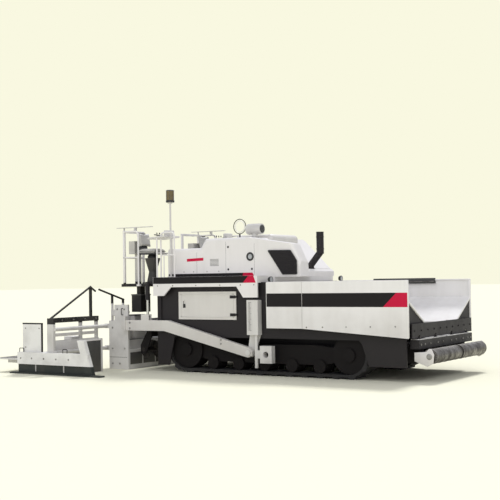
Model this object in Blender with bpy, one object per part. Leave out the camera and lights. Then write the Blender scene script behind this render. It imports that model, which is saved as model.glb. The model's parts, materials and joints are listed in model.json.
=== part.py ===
"""Tracked asphalt paver with an extending screed, as an assembly of separate sub-parts.

Metres. +X is forward (towards the hopper), +Y is the machine's left, +Z is up. The origin is on the ground,
under the middle of the machine's box. Right-hand pieces are modelled, and left-hand ones are mirrored.
"""
import math

import bmesh
import bpy
from mathutils import Matrix, Vector

# ---------------------------------------------------------------- clearances
SEAT = 0.0003        # between touching solids
RUN = 0.0003          # a bar in its bore, beyond what its flats need
CLEAR = 0.008        # between pieces that move past each other

# ---------------------------------------------------------------- hopper
HOPPER_LENGTH = 3.02
WING_LENGTH = 2.19               # the front part of the hopper's side folds
HALF_WIDTH = 1.55                # outer face of hopper wall and skirt
HOPPER_TOP = 1.85
PANEL_BOTTOM_FRONT = 0.80
PANEL_BOTTOM_REAR = 0.95
WALL = 0.03
WING_HINGE_Y = 0.68
WING_HINGE_Z = 1.00
WING_PIN_RADIUS = 0.02
WING_LUG_RADIUS = 0.045
WING_LUG_WIDTH = 0.08
WING_LUGS = (0.15, 1.05, 1.95)   # behind the hopper's front
WALL_FLOOR_Z = 1.50              # where the sloped floor meets the outer wall
TROUGH_HALF = 0.62
TROUGH_FLOOR = 0.60
TROUGH_WALL_TOP = 0.93
REAR_WALL_TOP = 1.80
GUSSET_INSET = 0.03
APRON_HINGE_X = 0.024            # ahead of the hopper's front
APRON_HINGE_Z = 0.80
APRON_PIN_RADIUS = 0.014
APRON_TOP = 1.06
APRON_HALF = 1.45
APRON_THICK = 0.02
APRON_LUGS = (-1.15, -0.40, 0.40, 1.15)
APRON_LUG_WIDTH = 0.05

# ---------------------------------------------------------------- push rollers
PUSH_OVERHANG = 0.42             # roller front ahead of the hopper
ROLLER_RADIUS = 0.135
ROLLER_INNER_Y = 0.04
ROLLER_OUTER_Y = 1.25
ROLLER_Z = 0.47
ROLLER_PIN_RADIUS = 0.03
BEAM_HALF = 1.30
BEAM_FRONT = 0.10                # ahead of the hopper
BEAM_BOTTOM = 0.60
BEAM_TOP = 0.765
YOKE_PIVOT_X = 0.05              # ahead of the hopper
YOKE_PIN_RADIUS = 0.04
YOKE_HUB_RADIUS = 0.075
YOKE_BAR_THICK = 0.06
YOKE_HALF = 1.29
YOKE_BOTTOM = 0.40
YOKE_TOP = 0.52
YOKE_CHEEK = 0.03

# ---------------------------------------------------------------- body, hood and deck
BODY_LENGTH = 2.80               # hopper rear to the rear of the skirt
FRAME_HALF = 0.80
FRAME_BOTTOM = 0.30
FRAME_DECK = 1.02
PLATE = 0.04
CROSS_TUBES = (2.30, 4.20)       # behind the hopper's front
CROSS_TUBE_HALF = 0.12
CROSS_TUBE_Z = (0.37, 0.53)
FENDER_Y = 1.38                  # inner face of the black side plate
FENDER_BOTTOM = 1.00
FENDER_SILL = 0.74                # lower edge beside the track
FENDER_HEEL_Z = 0.14
FENDER_TOE_Z = 0.26              # lowest edge, ahead of the track
ARM_GUIDE_BACK = (5.80, 5.70)
ARM_GUIDE_THICK = 0.025
LEDGE_Z = 1.85                   # top of the skirt, underside of the striped band
BAND_HEIGHT = 0.13
SKIRT_BOTTOM_FRONT = 1.55
SKIRT_BOTTOM_REAR = 1.59
SKIRT_GAP = 0.18                 # hopper rear to skirt front
RECESS_TOP = 1.77
DOOR_REAR = 5.24                 # behind the hopper's front
DOOR_FRONT = 3.80
DOOR_BOTTOM = 1.10
DOOR_TOP = 1.67
DOOR_THICK = 0.014
DOOR_PIN_RADIUS = 0.010
DOOR_LUGS = (1.20, 1.56)
HOOD_HALF = 1.15
HOOD_REAR_ROOF = 2.58
HOOD_ROOF = 2.77
HOOD_FRONT_ROOF = 2.12
HOOD_STEP = (4.87, 4.74)         # behind the hopper's front
HOOD_CREST_END = 3.70
HOOD_SHELL = 0.03
NOSE_LEFT_Y = 0.22               # the hood's nose covers the right side only
NOSE_FRONT_BACK = 2.45           # nose front behind the hopper's front
NOSE_BROW_BACK = 2.62
NOSE_BOTTOM = 1.95
NOSE_BROW_Z = 2.25
NOSE_TOP = 2.60
BROW_INNER_Y = 0.82              # the tall part of the nose reaches in to here
NOSE_LOW_BACK = 2.50             # where the low part's flat top ends
NOSE_LOW_TOP = 2.10
NOSE_LOW_BROW = 2.05
GRILLE_THICK = 0.02
ENGINE_BACK = (4.90, 3.40)
ENGINE_HALF = 0.42
ENGINE_TOP = 2.30
STACK_BACK = 2.36
STACK_Y = -0.50
STACK_FOOT_BACK = 2.60            # the stack bends back to its foot on the nose
STACK_RADIUS = 0.075
STACK_ELBOW_Z = 2.40
STACK_TOP = 2.84
CLEANER_BACK = (4.09, 3.74)
CLEANER_RADIUS = 0.11
CLEANER_Z = 2.96
MAST_BACK = 5.60
MAST_RADIUS = 0.02
MAST_TOP = 3.58
BEACON_RADIUS = 0.085
BEACON_HEIGHT = 0.24
DECK_LENGTH = 1.00
DECK_HALF = 1.40
DECK_THICK = 0.06
RAIL_TOP = 2.98
RAIL_MIDDLE = 2.42
RAIL_RADIUS = 0.021
RAIL_OUTER_Y = 1.36
RAIL_INNER_Y = 0.72
SERVICE_BOX_BACK = (6.62, 6.36)  # valve boxes hung under the deck
SERVICE_BOX_Y = (0.98, 1.30)
SERVICE_BOX_Z = (1.24, 1.62)
HOOD_BEND = 0.06
SEAT_BACK = 6.17                 # swivel axis behind the hopper's front
SEAT_Y = 1.12
SEAT_PAD_HALF = 0.23
SEAT_PAD_BOTTOM = 2.48
SEAT_PAD_TOP = 2.60
SEAT_BACKREST_TOP = 2.98
PEDESTAL_TOP = 2.40
PEDESTAL_RADIUS = 0.08
PEDESTAL_FOOT = 0.14
PEDESTAL_HEAD = 0.17
PEDESTAL_WAIST = 2.12
CONSOLE_BACK = (6.70, 6.54)
CONSOLE_Y = (0.86, 1.28)
CONSOLE_Z = (2.50, 2.78)

# ---------------------------------------------------------------- tracks
TRACK_WIDTH = 0.46
TRACK_Y = 1.13
IDLER_BACK = 1.32                # idler axle behind the hopper's front
SPROCKET_BACK = 5.12
IDLER_Z = 0.45
SPROCKET_Z = 0.47
BELT = 0.05
LUG = 0.035
LUG_PITCH_COUNT = 30
TRACK_ROLLERS = 5
TRACK_ROLLER_RADIUS = 0.13
UNDERCARRIAGE_HALF = 0.12
BELT_SAG = 0.006                 # the belt's flats between its bends dip towards the wheels

# ---------------------------------------------------------------- tow points, arms and lift cylinders
TOW_PIN_BACK = 3.44
TOW_PIN_Z = 0.46
TOW_PIN_RADIUS = 0.035
TOW_HOUSING_BACK = (3.46, 3.20)
TOW_HOUSING_Z = (0.81, 1.50)
TOW_ROD_BACK = 3.28              # depth stop rod in front of the arm's eye
TOW_ROD_RADIUS = 0.035
TOW_ROD_BOTTOM = 0.16
TOW_BLOCK_BACK = (3.17, 2.90)
TOW_BLOCK_Z = (0.26, 0.60)
TOW_BLOCK_BORE = 0.06
ARM_Y = 1.49                     # middle of the tow arm
ARM_THICK = 0.10
ARM_HEIGHT = 0.22
ARM_FLANGE = 0.03
ARM_KINK_BACK = 5.50
ARM_KINK_Z = 0.965               # middle of the arm at its bend
ARM_REAR_BACK = 6.60
ARM_PAD_BACK = 6.78              # rear end of the arm's pad on the screed's end plate
CYLINDER_BACK = 6.02
CYLINDER_TOP = 1.89
CYLINDER_BOTTOM = 1.50
CYLINDER_RADIUS = 0.05
ROD_RADIUS = 0.028
ROD_TOP = 1.57
ROD_END = 1.15
ARM_LUG_GAP = 0.04               # rod's axis to each arm lug

# ---------------------------------------------------------------- augers
AUGER_BACK = 6.27
AUGER_Z = 0.44
AUGER_RADIUS = 0.19
AUGER_SHAFT = 0.045
AUGER_PITCH = 0.38
AUGER_FLIGHT = 0.016
AUGER_FLIGHT_Y = (0.20, 1.30)
AUGER_CASE_HALF = 0.11
AUGER_HANGER = (1.32, 1.35)
AUGER_BEAM_Z = (0.72, 0.84)
AUGER_BEAM_BACK = (6.16, 6.04)

# ---------------------------------------------------------------- screed
SCREED_BACK = 6.68               # screed's front face behind the hopper's front
SCREED_DEPTH = 0.54
SCREED_HALF = 1.35
SCREED_BOX_TOP = 0.42
SCREED_PLATE_TOP = 1.05
END_PLATE = 0.04
END_TAB_TOP = 1.40                # raised front of the end plate
END_TAB_DEPTH = 0.36
TUBE_RADIUS = 0.042
TUBE_GAP = 0.12                  # tube's middle behind the main screed
RIGHT_TUBES_Z = (0.93, 0.45)
LEFT_TUBES_Z = (0.81, 0.33)
TUBE_INNER_Y = 0.50
SLEEVE_HALF = 0.05
SLEEVE_WIDTH = 0.10
SLEEVE_STATIONS = (0.64, 1.27)
POST = 0.06
EXTENSION_BACK = 0.22            # extension's front behind the main screed
EXTENSION_DEPTH = 0.88
EXTENSION_WIDTH = 1.48
EXTENSION_INNER_Y = 1.46
EXTENSION_BOX_TOP = 0.40
MOLDBOARD_TOP = 0.69
STRIKE_BACK = 6.50               # front face of the strike-off plate
STRIKE_WIDTH = 0.50
STRIKE_TOP = 0.72
CHEEK_TOP = 0.44
EXTENSION_BEAM_Z = (1.06, 1.16)
GATE_THICK = 0.04
GATE_BAND = 0.06                 # how far the band stands out from the gate
GATE_BAND_Z = (0.20, 0.45)
GATE_PANEL_TOP = 1.06
GATE_FRONT_BACK = 6.20
GATE_SKI_OUT = 0.12              # how far the ski stands out from the gate
GATE_SKI_THICK = 0.03
GATE_SKI_REACH = 0.24
GATE_REAR_BACK = 8.35
GATE_PANEL_BACK = (8.22, 7.66)
WALKWAY_DEPTH = 0.56
WALKWAY_Z = 0.30
WALKWAY_THICK = 0.03
HOSE_GUIDE_RADIUS = 0.022
HOSE_GUIDE_PEAK = (1.66, 1.80)   # distance from the middle, and height
HOSE_GUIDE_END = (1.50, 1.70)
SCREED_GUIDE = ((1.72, 1.74), (0.90, 1.50))
SCREED_CYLINDER_Y = (1.36, 0.90)
SCREED_CYLINDER_Z = 1.22
SCREED_CYLINDER_RADIUS = 0.06

# ---------------------------------------------------------------- stations along the machine
SCREED_REAR_BACK = SCREED_BACK + SCREED_DEPTH
EXTENSION_FRONT_BACK = SCREED_REAR_BACK + EXTENSION_BACK
EXTENSION_REAR_BACK = EXTENSION_FRONT_BACK + EXTENSION_DEPTH
REAR_BACK = EXTENSION_REAR_BACK + 0.10 + WALKWAY_DEPTH
LENGTH = PUSH_OVERHANG + REAR_BACK
FRONT = LENGTH / 2 - PUSH_OVERHANG       # the hopper's front face
HOPPER_REAR = FRONT - HOPPER_LENGTH
WING_REAR = FRONT - WING_LENGTH
BODY_REAR = HOPPER_REAR - BODY_LENGTH
FRAME_REAR = BODY_REAR - 0.12
SKIRT_FRONT = HOPPER_REAR - SKIRT_GAP
HOOD_REAR = BODY_REAR + 0.10
DECK_REAR = BODY_REAR - DECK_LENGTH
TOW_X = FRONT - TOW_PIN_BACK
CYLINDER_X = FRONT - CYLINDER_BACK
AUGER_X = FRONT - AUGER_BACK
SCREED_FRONT = FRONT - SCREED_BACK
SCREED_REAR = FRONT - SCREED_REAR_BACK
TUBE_X = SCREED_REAR - TUBE_GAP
EXTENSION_FRONT = FRONT - EXTENSION_FRONT_BACK
EXTENSION_REAR = FRONT - EXTENSION_REAR_BACK
EXTENSION_OUTER_Y = EXTENSION_INNER_Y + EXTENSION_WIDTH
ROLLER_X = FRONT + PUSH_OVERHANG - ROLLER_RADIUS
YOKE_X = FRONT + YOKE_PIVOT_X
SHELL_FRONT = HOPPER_REAR - PLATE / 2


# ---------------------------------------------------------------- modelling helpers
def clear_scene():
    for obj in list(bpy.data.objects):
        bpy.data.objects.remove(obj, do_unlink=True)


def material(name, colour, roughness, metallic=0.0):
    made = bpy.data.materials.new(name)
    made.use_nodes = True
    shader = made.node_tree.nodes["Principled BSDF"]
    shader.inputs["Base Color"].default_value = (*colour, 1.0)
    shader.inputs["Roughness"].default_value = roughness
    shader.inputs["Metallic"].default_value = metallic
    return made


def object_from(mesh_builder, name="solid"):
    """Links a new object whose mesh is the bmesh, with its faces pointing out."""
    bmesh.ops.recalc_face_normals(mesh_builder, faces=mesh_builder.faces)
    mesh = bpy.data.meshes.new(name)
    mesh_builder.to_mesh(mesh)
    mesh_builder.free()
    obj = bpy.data.objects.new(name, mesh)
    bpy.context.scene.collection.objects.link(obj)
    return obj


def box(x, y, z):
    """A box from three (low, high) pairs, in any order."""
    made = bmesh.new()
    bmesh.ops.create_cube(made, size=1.0)
    for vert in made.verts:
        for axis, pair in enumerate((x, y, z)):
            vert.co[axis] = max(pair) if vert.co[axis] > 0 else min(pair)
    return object_from(made)


def prism(points, axis, span):
    """A flat outline, its points in the other two coordinates, pushed along an axis over the span."""
    place = {
        "x": lambda a, b, c: (c, a, b),
        "y": lambda a, b, c: (a, c, b),
        "z": lambda a, b, c: (a, b, c),
    }[axis]
    made = bmesh.new()
    face = made.faces.new([made.verts.new(place(a, b, min(span))) for a, b in points])
    pushed = bmesh.ops.extrude_face_region(made, geom=[face])
    shift = Vector(place(0, 0, max(span) - min(span)))
    moved = [item for item in pushed["geom"] if isinstance(item, bmesh.types.BMVert)]
    bmesh.ops.translate(made, verts=moved, vec=shift)
    return object_from(made)


def rod(start, end, radius, sides=24, end_radius=None):
    """A round bar, or a cone where end_radius differs, between two points."""
    start, end = Vector(start), Vector(end)
    along = end - start
    turn = along.to_track_quat("Z", "Y").to_matrix().to_4x4()
    made = bmesh.new()
    bmesh.ops.create_cone(
        made,
        cap_ends=True,
        segments=sides,
        radius1=radius,
        radius2=radius if end_radius is None else end_radius,
        depth=along.length,
        matrix=Matrix.Translation((start + end) / 2) @ turn,
    )
    return object_from(made)


def boolean(target, tool, operation):
    """Joins tool to target or cuts it away, applies the result, and removes tool."""
    modifier = target.modifiers.new(operation.lower(), "BOOLEAN")
    modifier.operation = operation
    modifier.object = tool
    modifier.solver = "EXACT"
    result = bpy.data.meshes.new_from_object(
        target.evaluated_get(bpy.context.evaluated_depsgraph_get())
    )
    target.modifiers.clear()
    target.data = result
    bpy.data.objects.remove(tool, do_unlink=True)
    return target


def assemble(name, look, pieces, cuts=()):
    """One solid of all the pieces, less all the cuts."""
    whole = pieces[0]
    for piece in pieces[1:]:
        boolean(whole, piece, "UNION")
    for cut in cuts:
        boolean(whole, cut, "DIFFERENCE")
    whole.name = name
    whole.data.name = name
    whole.data.materials.clear()
    whole.data.materials.append(look)
    return whole


def mirrored(obj, name):
    """The same solid on the other side of the machine."""
    made = bmesh.new()
    made.from_mesh(obj.data)
    for vert in made.verts:
        vert.co.y = -vert.co.y
    bmesh.ops.reverse_faces(made, faces=made.faces)
    copy = object_from(made, name)
    copy.data.materials.append(obj.data.materials[0])
    return copy


def pair(name, look, pieces, cuts=()):
    """A right-hand sub-part, modelled at negative Y, and its left-hand mirror image."""
    right = assemble(name + "_right", look, pieces, cuts)
    return right, mirrored(right, name + "_left")


def hinge_at(obj, x, y, z):
    """Puts the object's origin on its joint's axis, with its shape where it was."""
    obj.data.transform(Matrix.Translation((-x, -y, -z)))
    obj.location = (x, y, z)


def hinge_both(solids, x, y, z):
    """The same for a right-hand piece, whose joint is at y, and its left-hand mirror image."""
    right, left = solids
    hinge_at(right, x, y, z)
    hinge_at(left, x, -y, z)


def smooth_round(obj):
    obj.data.shade_smooth()
    obj.data.set_sharp_from_angle(angle=math.radians(35))


# ---------------------------------------------------------------- tracks and undercarriage
def loop_point(distance, front, rear):
    """The point and outward normal at a distance along a belt around two wheels, each (x, z, radius)."""
    (x1, z1, r1), (x2, z2, r2) = front, rear
    span = math.hypot(x1 - x2, z1 - z2)
    slope = math.atan2(z1 - z2, x1 - x2)
    wrap = math.asin((r2 - r1) / span)
    run = math.sqrt(span**2 - (r2 - r1) ** 2)
    top = slope + math.pi / 2 - wrap
    bottom = slope - math.pi / 2 + wrap
    front_arc = (top - bottom) * r1
    rear_arc = (2 * math.pi - (top - bottom)) * r2
    total = 2 * run + front_arc + rear_arc
    distance %= total
    if distance < run:
        normal = Vector((math.cos(bottom), math.sin(bottom)))
        start = Vector((x2, z2)) + normal * r2
        end = Vector((x1, z1)) + normal * r1
        return start.lerp(end, distance / run), normal, total
    distance -= run
    if distance < front_arc:
        angle = bottom + distance / r1
        normal = Vector((math.cos(angle), math.sin(angle)))
        return Vector((x1, z1)) + normal * r1, normal, total
    distance -= front_arc
    if distance < run:
        normal = Vector((math.cos(top), math.sin(top)))
        start = Vector((x1, z1)) + normal * r1
        end = Vector((x2, z2)) + normal * r2
        return start.lerp(end, distance / run), normal, total
    distance -= run
    angle = top + distance / r2
    normal = Vector((math.cos(angle), math.sin(angle)))
    return Vector((x2, z2)) + normal * r2, normal, total


def track_wheels():
    """The idler and the sprocket, each as (x, z, radius of the belt's outer face)."""
    idler = (FRONT - IDLER_BACK, IDLER_Z, IDLER_Z - LUG)
    sprocket = (FRONT - SPROCKET_BACK, SPROCKET_Z, SPROCKET_Z - LUG)
    return idler, sprocket


def track_belt():
    """A rubber belt with a tread bar at each pitch, as one closed loop."""
    front, rear = track_wheels()
    total = loop_point(0, front, rear)[2]
    pitch = total / LUG_PITCH_COUNT
    outer, inner = [], []
    for count in range(LUG_PITCH_COUNT):
        for share, rise in ((0.08, 0), (0.14, LUG), (0.46, LUG), (0.52, 0), (0.78, 0)):
            point, normal, _ = loop_point((count + share) * pitch, front, rear)
            outer.append(point + normal * rise)
            inner.append(point - normal * BELT)
    made = bmesh.new()
    sides = (-TRACK_Y - TRACK_WIDTH / 2, -TRACK_Y + TRACK_WIDTH / 2)
    rings = [
        [made.verts.new((p.x, y, p.y)) for p in line]
        for line in (outer, inner)
        for y in sides
    ]
    for this, following in ((0, 1), (1, 3), (3, 2), (2, 0)):
        for index in range(len(outer)):
            after = (index + 1) % len(outer)
            made.faces.new(
                (
                    rings[this][index],
                    rings[this][after],
                    rings[following][after],
                    rings[following][index],
                )
            )
    return object_from(made)


def undercarriage():
    """Beam, road rollers, idler and sprocket of one side, joined by their axles."""
    idler, sprocket = track_wheels()
    inner_y, outer_y = -TRACK_Y + UNDERCARRIAGE_HALF, -TRACK_Y - UNDERCARRIAGE_HALF
    wheel_inner, wheel_outer = -TRACK_Y + 0.17, -TRACK_Y - 0.17
    pieces = [
        prism(
            [
                (idler[0] - 0.05, IDLER_Z - 0.09),
                (idler[0] - 0.05, IDLER_Z + 0.09),
                (idler[0] - 0.75, IDLER_Z + 0.17),
                (sprocket[0] + 0.75, SPROCKET_Z + 0.14),
                (sprocket[0] + 0.05, SPROCKET_Z + 0.09),
                (sprocket[0] + 0.05, SPROCKET_Z - 0.09),
                (sprocket[0] + 0.60, 0.24),
                (idler[0] - 0.60, 0.24),
            ],
            "y",
            (outer_y, inner_y),
        )
    ]
    for x, z, belt_radius in (idler, sprocket):
        rim = belt_radius - BELT - BELT_SAG
        pieces.append(rod((x, wheel_outer, z), (x, wheel_inner, z), rim, 32))
        pieces.append(rod((x, wheel_outer - 0.04, z), (x, wheel_inner, z), 0.13, 16))
    spread = idler[0] - sprocket[0] - 1.3
    for count in range(TRACK_ROLLERS):
        x = sprocket[0] + 0.65 + spread * count / (TRACK_ROLLERS - 1)
        z = LUG + BELT + TRACK_ROLLER_RADIUS + SEAT
        pieces.append(rod((x, wheel_outer, z), (x, wheel_inner, z), TRACK_ROLLER_RADIUS, 20))
    return pieces


def make_tracks(black, steel):
    for solid in pair("track_belt", black, [track_belt()]):
        smooth_round(solid)
    for solid in pair("undercarriage", steel, undercarriage()):
        smooth_round(solid)


# ---------------------------------------------------------------- frame
def back(distance):
    """X of a station that far behind the hopper's front."""
    return FRONT - distance


def bore(start, end, radius, sides=24):
    """A cutter for a round bar of this radius to turn in."""
    return rod(start, end, (radius + RUN) / math.cos(math.pi / sides), sides)


def frame_tunnel():
    front = FRONT - 0.06
    pieces = [box((FRAME_REAR, front), (-FRAME_HALF, FRAME_HALF), (FRAME_BOTTOM, FRAME_BOTTOM + PLATE))]
    outline = [
        (front, FRAME_BOTTOM),
        (front, BEAM_TOP),
        (HOPPER_REAR + PLATE / 2, BEAM_TOP),
        (HOPPER_REAR + PLATE / 2, FRAME_DECK),
        (FRAME_REAR, FRAME_DECK),
        (FRAME_REAR, FRAME_BOTTOM),
    ]
    for side in (-1, 1):
        pieces.append(prism(outline, "y", (side * (FRAME_HALF - PLATE), side * FRAME_HALF)))
        for station in CROSS_TUBES:
            x = back(station)
            reach = TRACK_Y - UNDERCARRIAGE_HALF - SEAT
            spread = (side * (FRAME_HALF - PLATE / 2), side * reach)
            pieces.append(box((x - CROSS_TUBE_HALF, x + CROSS_TUBE_HALF), spread, CROSS_TUBE_Z))
    deck = box(
        (FRAME_REAR, HOPPER_REAR + PLATE / 2),
        (-FRAME_HALF, FRAME_HALF),
        (FRAME_DECK - PLATE, FRAME_DECK),
    )
    return pieces + [deck]


def bulkheads():
    half = FENDER_Y - SEAT
    pieces = []
    for x in (HOPPER_REAR + PLATE / 2, BODY_REAR + PLATE):
        pieces.append(box((x - PLATE, x), (-half, half), (FRAME_DECK - PLATE / 2, LEDGE_Z - SEAT)))
    return pieces


def push_beam():
    """The cross beam ahead of the tunnel, with the apron's lugs and the yoke's pin."""
    front = FRONT + BEAM_FRONT
    pieces = [box((FRONT - 0.08, front), (-BEAM_HALF, BEAM_HALF), (BEAM_BOTTOM, BEAM_TOP))]
    pin_x, pin_z = FRONT + APRON_HINGE_X, APRON_HINGE_Z
    for y in APRON_LUGS:
        half = APRON_LUG_WIDTH / 2
        lug = (BEAM_TOP - 0.02, pin_z + 0.02)
        pieces.append(box((pin_x - 0.018, pin_x + 0.03), (y - half, y + half), lug))
    pieces.append(rod((YOKE_X, 0, YOKE_BOTTOM - 0.02), (YOKE_X, 0, BEAM_BOTTOM + 0.02), YOKE_PIN_RADIUS))
    return pieces, bore((pin_x, -BEAM_HALF, pin_z), (pin_x, BEAM_HALF, pin_z), APRON_PIN_RADIUS)


def make_frame(black):
    beam, hinge_bore = push_beam()
    return assemble("main_frame", black, frame_tunnel() + bulkheads() + beam, [hinge_bore])


def make_conveyor(steel):
    """Floor of the trough from hopper to augers, its walls, and the wings' hinge lugs."""
    edge = FRAME_HALF - PLATE - SEAT
    pieces = [box((FRAME_REAR, FRONT - 0.09), (-edge, edge), (TROUGH_FLOOR - PLATE, TROUGH_FLOOR))]
    bores = []
    for side in (-1, 1):
        pieces.append(
            box(
                (FRAME_REAR, FRONT - 0.09),
                (side * TROUGH_HALF, side * (TROUGH_HALF + WALL)),
                (TROUGH_FLOOR - PLATE / 2, TROUGH_WALL_TOP),
            )
        )
        y, z = side * WING_HINGE_Y, WING_HINGE_Z
        for station in WING_LUGS:
            x = back(station)
            near, far = x - WING_LUG_WIDTH / 2, x + WING_LUG_WIDTH / 2
            pieces.append(box((near, far), (side * (TROUGH_HALF + 0.005), y), (TROUGH_WALL_TOP - 0.05, z)))
            pieces.append(rod((near, y, z), (far, y, z), WING_LUG_RADIUS))
            bores.append(bore((near - 0.01, y, z), (far + 0.01, y, z), WING_PIN_RADIUS))
    return assemble("conveyor_trough", steel, pieces, bores)


def make_fenders(black):
    """Black side plates above the tracks, with a shelf over each track and a foot at the front."""
    rear = BODY_REAR
    plate = prism(
        [
            (FRONT - 0.10, FENDER_TOE_Z),
            (FRONT - 0.10, PANEL_BOTTOM_FRONT + 0.03),
            (WING_REAR, FENDER_BOTTOM - 0.01),
            (HOPPER_REAR - 0.03, FENDER_BOTTOM + 0.02),
            (HOPPER_REAR - 0.03, LEDGE_Z - SEAT),
            (rear, LEDGE_Z - SEAT),
            (rear, FENDER_HEEL_Z),
            (back(SPROCKET_BACK) - 0.40, FENDER_HEEL_Z),
            (back(SPROCKET_BACK) - 0.25, FENDER_SILL),
            (back(IDLER_BACK) + 0.30, FENDER_SILL),
            (back(IDLER_BACK) + 0.46, FENDER_TOE_Z),
        ],
        "y",
        (-FENDER_Y, -FENDER_Y - WALL),
    )
    shelf = box(
        (rear + PLATE + SEAT, HOPPER_REAR - PLATE / 2 - SEAT),
        (-FRAME_HALF + 0.10, -FENDER_Y - 0.01),
        (FRAME_DECK + SEAT, FRAME_DECK + WALL),
    )
    foot = box((FRONT - 0.40, FRONT - 0.12), (-FRAME_HALF - SEAT, -FENDER_Y - 0.01), (0.64, 0.70))
    x, y = back(DOOR_FRONT), -door_pin_y()
    lugs = [
        box((x - 0.012, x + 0.03), (-FENDER_Y - 0.01, y - 0.014), (z - 0.02, z + 0.02)) for z in DOOR_LUGS
    ]
    near, far = (back(value) for value in ARM_GUIDE_BACK)
    face = -FENDER_Y - WALL
    heights = (FENDER_BOTTOM + 0.05, SKIRT_BOTTOM_REAR + 0.20)
    guide = box((near, far), (face + 0.01, face - ARM_GUIDE_THICK), heights)
    pin_hole = bore((x, y, DOOR_BOTTOM), (x, y, DOOR_TOP), DOOR_PIN_RADIUS, 12)
    return pair("fender", black, [plate, shelf, foot, guide] + lugs, [pin_hole])


def door_pin_y():
    return FENDER_Y + WALL + 0.013


def make_doors(grey):
    x, y = back(DOOR_FRONT), -door_pin_y()
    leaf = box((back(DOOR_REAR), x), (y - DOOR_THICK / 2, y + DOOR_THICK / 2), (DOOR_BOTTOM, DOOR_TOP))
    notches = [box((x - 0.03, x + 0.05), (y - 0.05, y + 0.05), (z - 0.028, z + 0.028)) for z in DOOR_LUGS]
    door = assemble("leaf", grey, [leaf], notches)
    pin = rod((x, y, DOOR_BOTTOM), (x, y, DOOR_TOP), DOOR_PIN_RADIUS, 12)
    hinge_both(pair("service_door", grey, [door, pin]), x, y, (DOOR_BOTTOM + DOOR_TOP) / 2)


def make_skirts(white):
    """White side panel with its raised lower middle, and the band and ledge along its top."""
    rear, front = BODY_REAR, SKIRT_FRONT
    panel = prism(
        [
            (rear, LEDGE_Z),
            (front, LEDGE_Z),
            (front, SKIRT_BOTTOM_FRONT),
            (front - 0.34, SKIRT_BOTTOM_FRONT),
            (front - 0.50, RECESS_TOP),
            (rear + 0.47, RECESS_TOP),
            (rear + 0.28, SKIRT_BOTTOM_REAR),
            (rear, SKIRT_BOTTOM_REAR),
        ],
        "y",
        (-HALF_WIDTH, -HALF_WIDTH + WALL),
    )
    band = prism(
        [
            (-HALF_WIDTH, LEDGE_Z - 0.01),
            (-HALF_WIDTH, LEDGE_Z + BAND_HEIGHT),
            (-HOOD_HALF - SEAT, LEDGE_Z + BAND_HEIGHT),
            (-HOOD_HALF - SEAT, LEDGE_Z + SEAT),
            (-FENDER_Y + 0.01, LEDGE_Z + SEAT),
            (-FENDER_Y - WALL - SEAT, LEDGE_Z + SEAT),
            (-FENDER_Y - WALL - SEAT, LEDGE_Z - 0.01),
        ],
        "x",
        (rear, front),
    )
    return pair("side_skirt", white, [panel, band])


# ---------------------------------------------------------------- hopper
def slope_outline(side, lift=0.0):
    """The sloped hopper floor's section, from the hinge to the outer wall."""
    inner, outer = WING_HINGE_Y, HALF_WIDTH - WALL / 2
    rise = (WALL_FLOOR_Z - WING_HINGE_Z) / (outer - inner)
    drop = 0.034
    return [
        (side * inner, WING_HINGE_Z + lift),
        (side * outer, WALL_FLOOR_Z + lift),
        (side * outer, WALL_FLOOR_Z - drop + lift),
        (side * (inner + 0.02), WING_HINGE_Z - drop + 0.02 * rise + lift),
    ]


def wing():
    """Outer wall, sloped floor, front gusset and rear rib of the right wing."""
    wall = prism(
        [
            (WING_REAR, PANEL_BOTTOM_REAR),
            (FRONT, PANEL_BOTTOM_FRONT),
            (FRONT, HOPPER_TOP),
            (WING_REAR, HOPPER_TOP),
        ],
        "y",
        (-HALF_WIDTH, -HALF_WIDTH + WALL),
    )
    floor = prism(slope_outline(-1), "x", (WING_REAR, FRONT))
    outer = -HALF_WIDTH + WALL / 2
    gusset = prism(
        [
            (-WING_HINGE_Y - 0.02, WING_HINGE_Z - 0.005),
            (outer, WALL_FLOOR_Z - 0.01),
            (outer, PANEL_BOTTOM_FRONT + 0.02),
            (-APRON_HALF + 0.02, PANEL_BOTTOM_FRONT + 0.02),
            (-WING_HINGE_Y - 0.10, WING_HINGE_Z - 0.06),
        ],
        "x",
        (FRONT - GUSSET_INSET - 0.02, FRONT - GUSSET_INSET),
    )
    rib = prism(
        [
            (-WING_HINGE_Y - 0.10, WING_HINGE_Z + 0.04),
            (outer, WALL_FLOOR_Z - 0.01),
            (outer, FENDER_BOTTOM + 0.06),
            (-WING_HINGE_Y - 0.20, WING_HINGE_Z + 0.06),
        ],
        "x",
        (WING_REAR, WING_REAR + WALL),
    )
    return [wall, floor, gusset, rib]


def make_wings(white):
    y, z = -WING_HINGE_Y, WING_HINGE_Z
    gaps = []
    for station in WING_LUGS:
        x = back(station)
        reach = WING_LUG_WIDTH / 2 + CLEAR
        gaps.append(rod((x - reach, y, z), (x + reach, y, z), WING_LUG_RADIUS + 0.012, 20))
    shell = assemble("shell", white, wing(), gaps)
    pin = rod((WING_REAR + 0.001, y, z), (FRONT - 0.001, y, z), WING_PIN_RADIUS)
    hinge_both(pair("hopper_wing", white, [shell, pin]), back(WING_LENGTH / 2), y, z)


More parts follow.
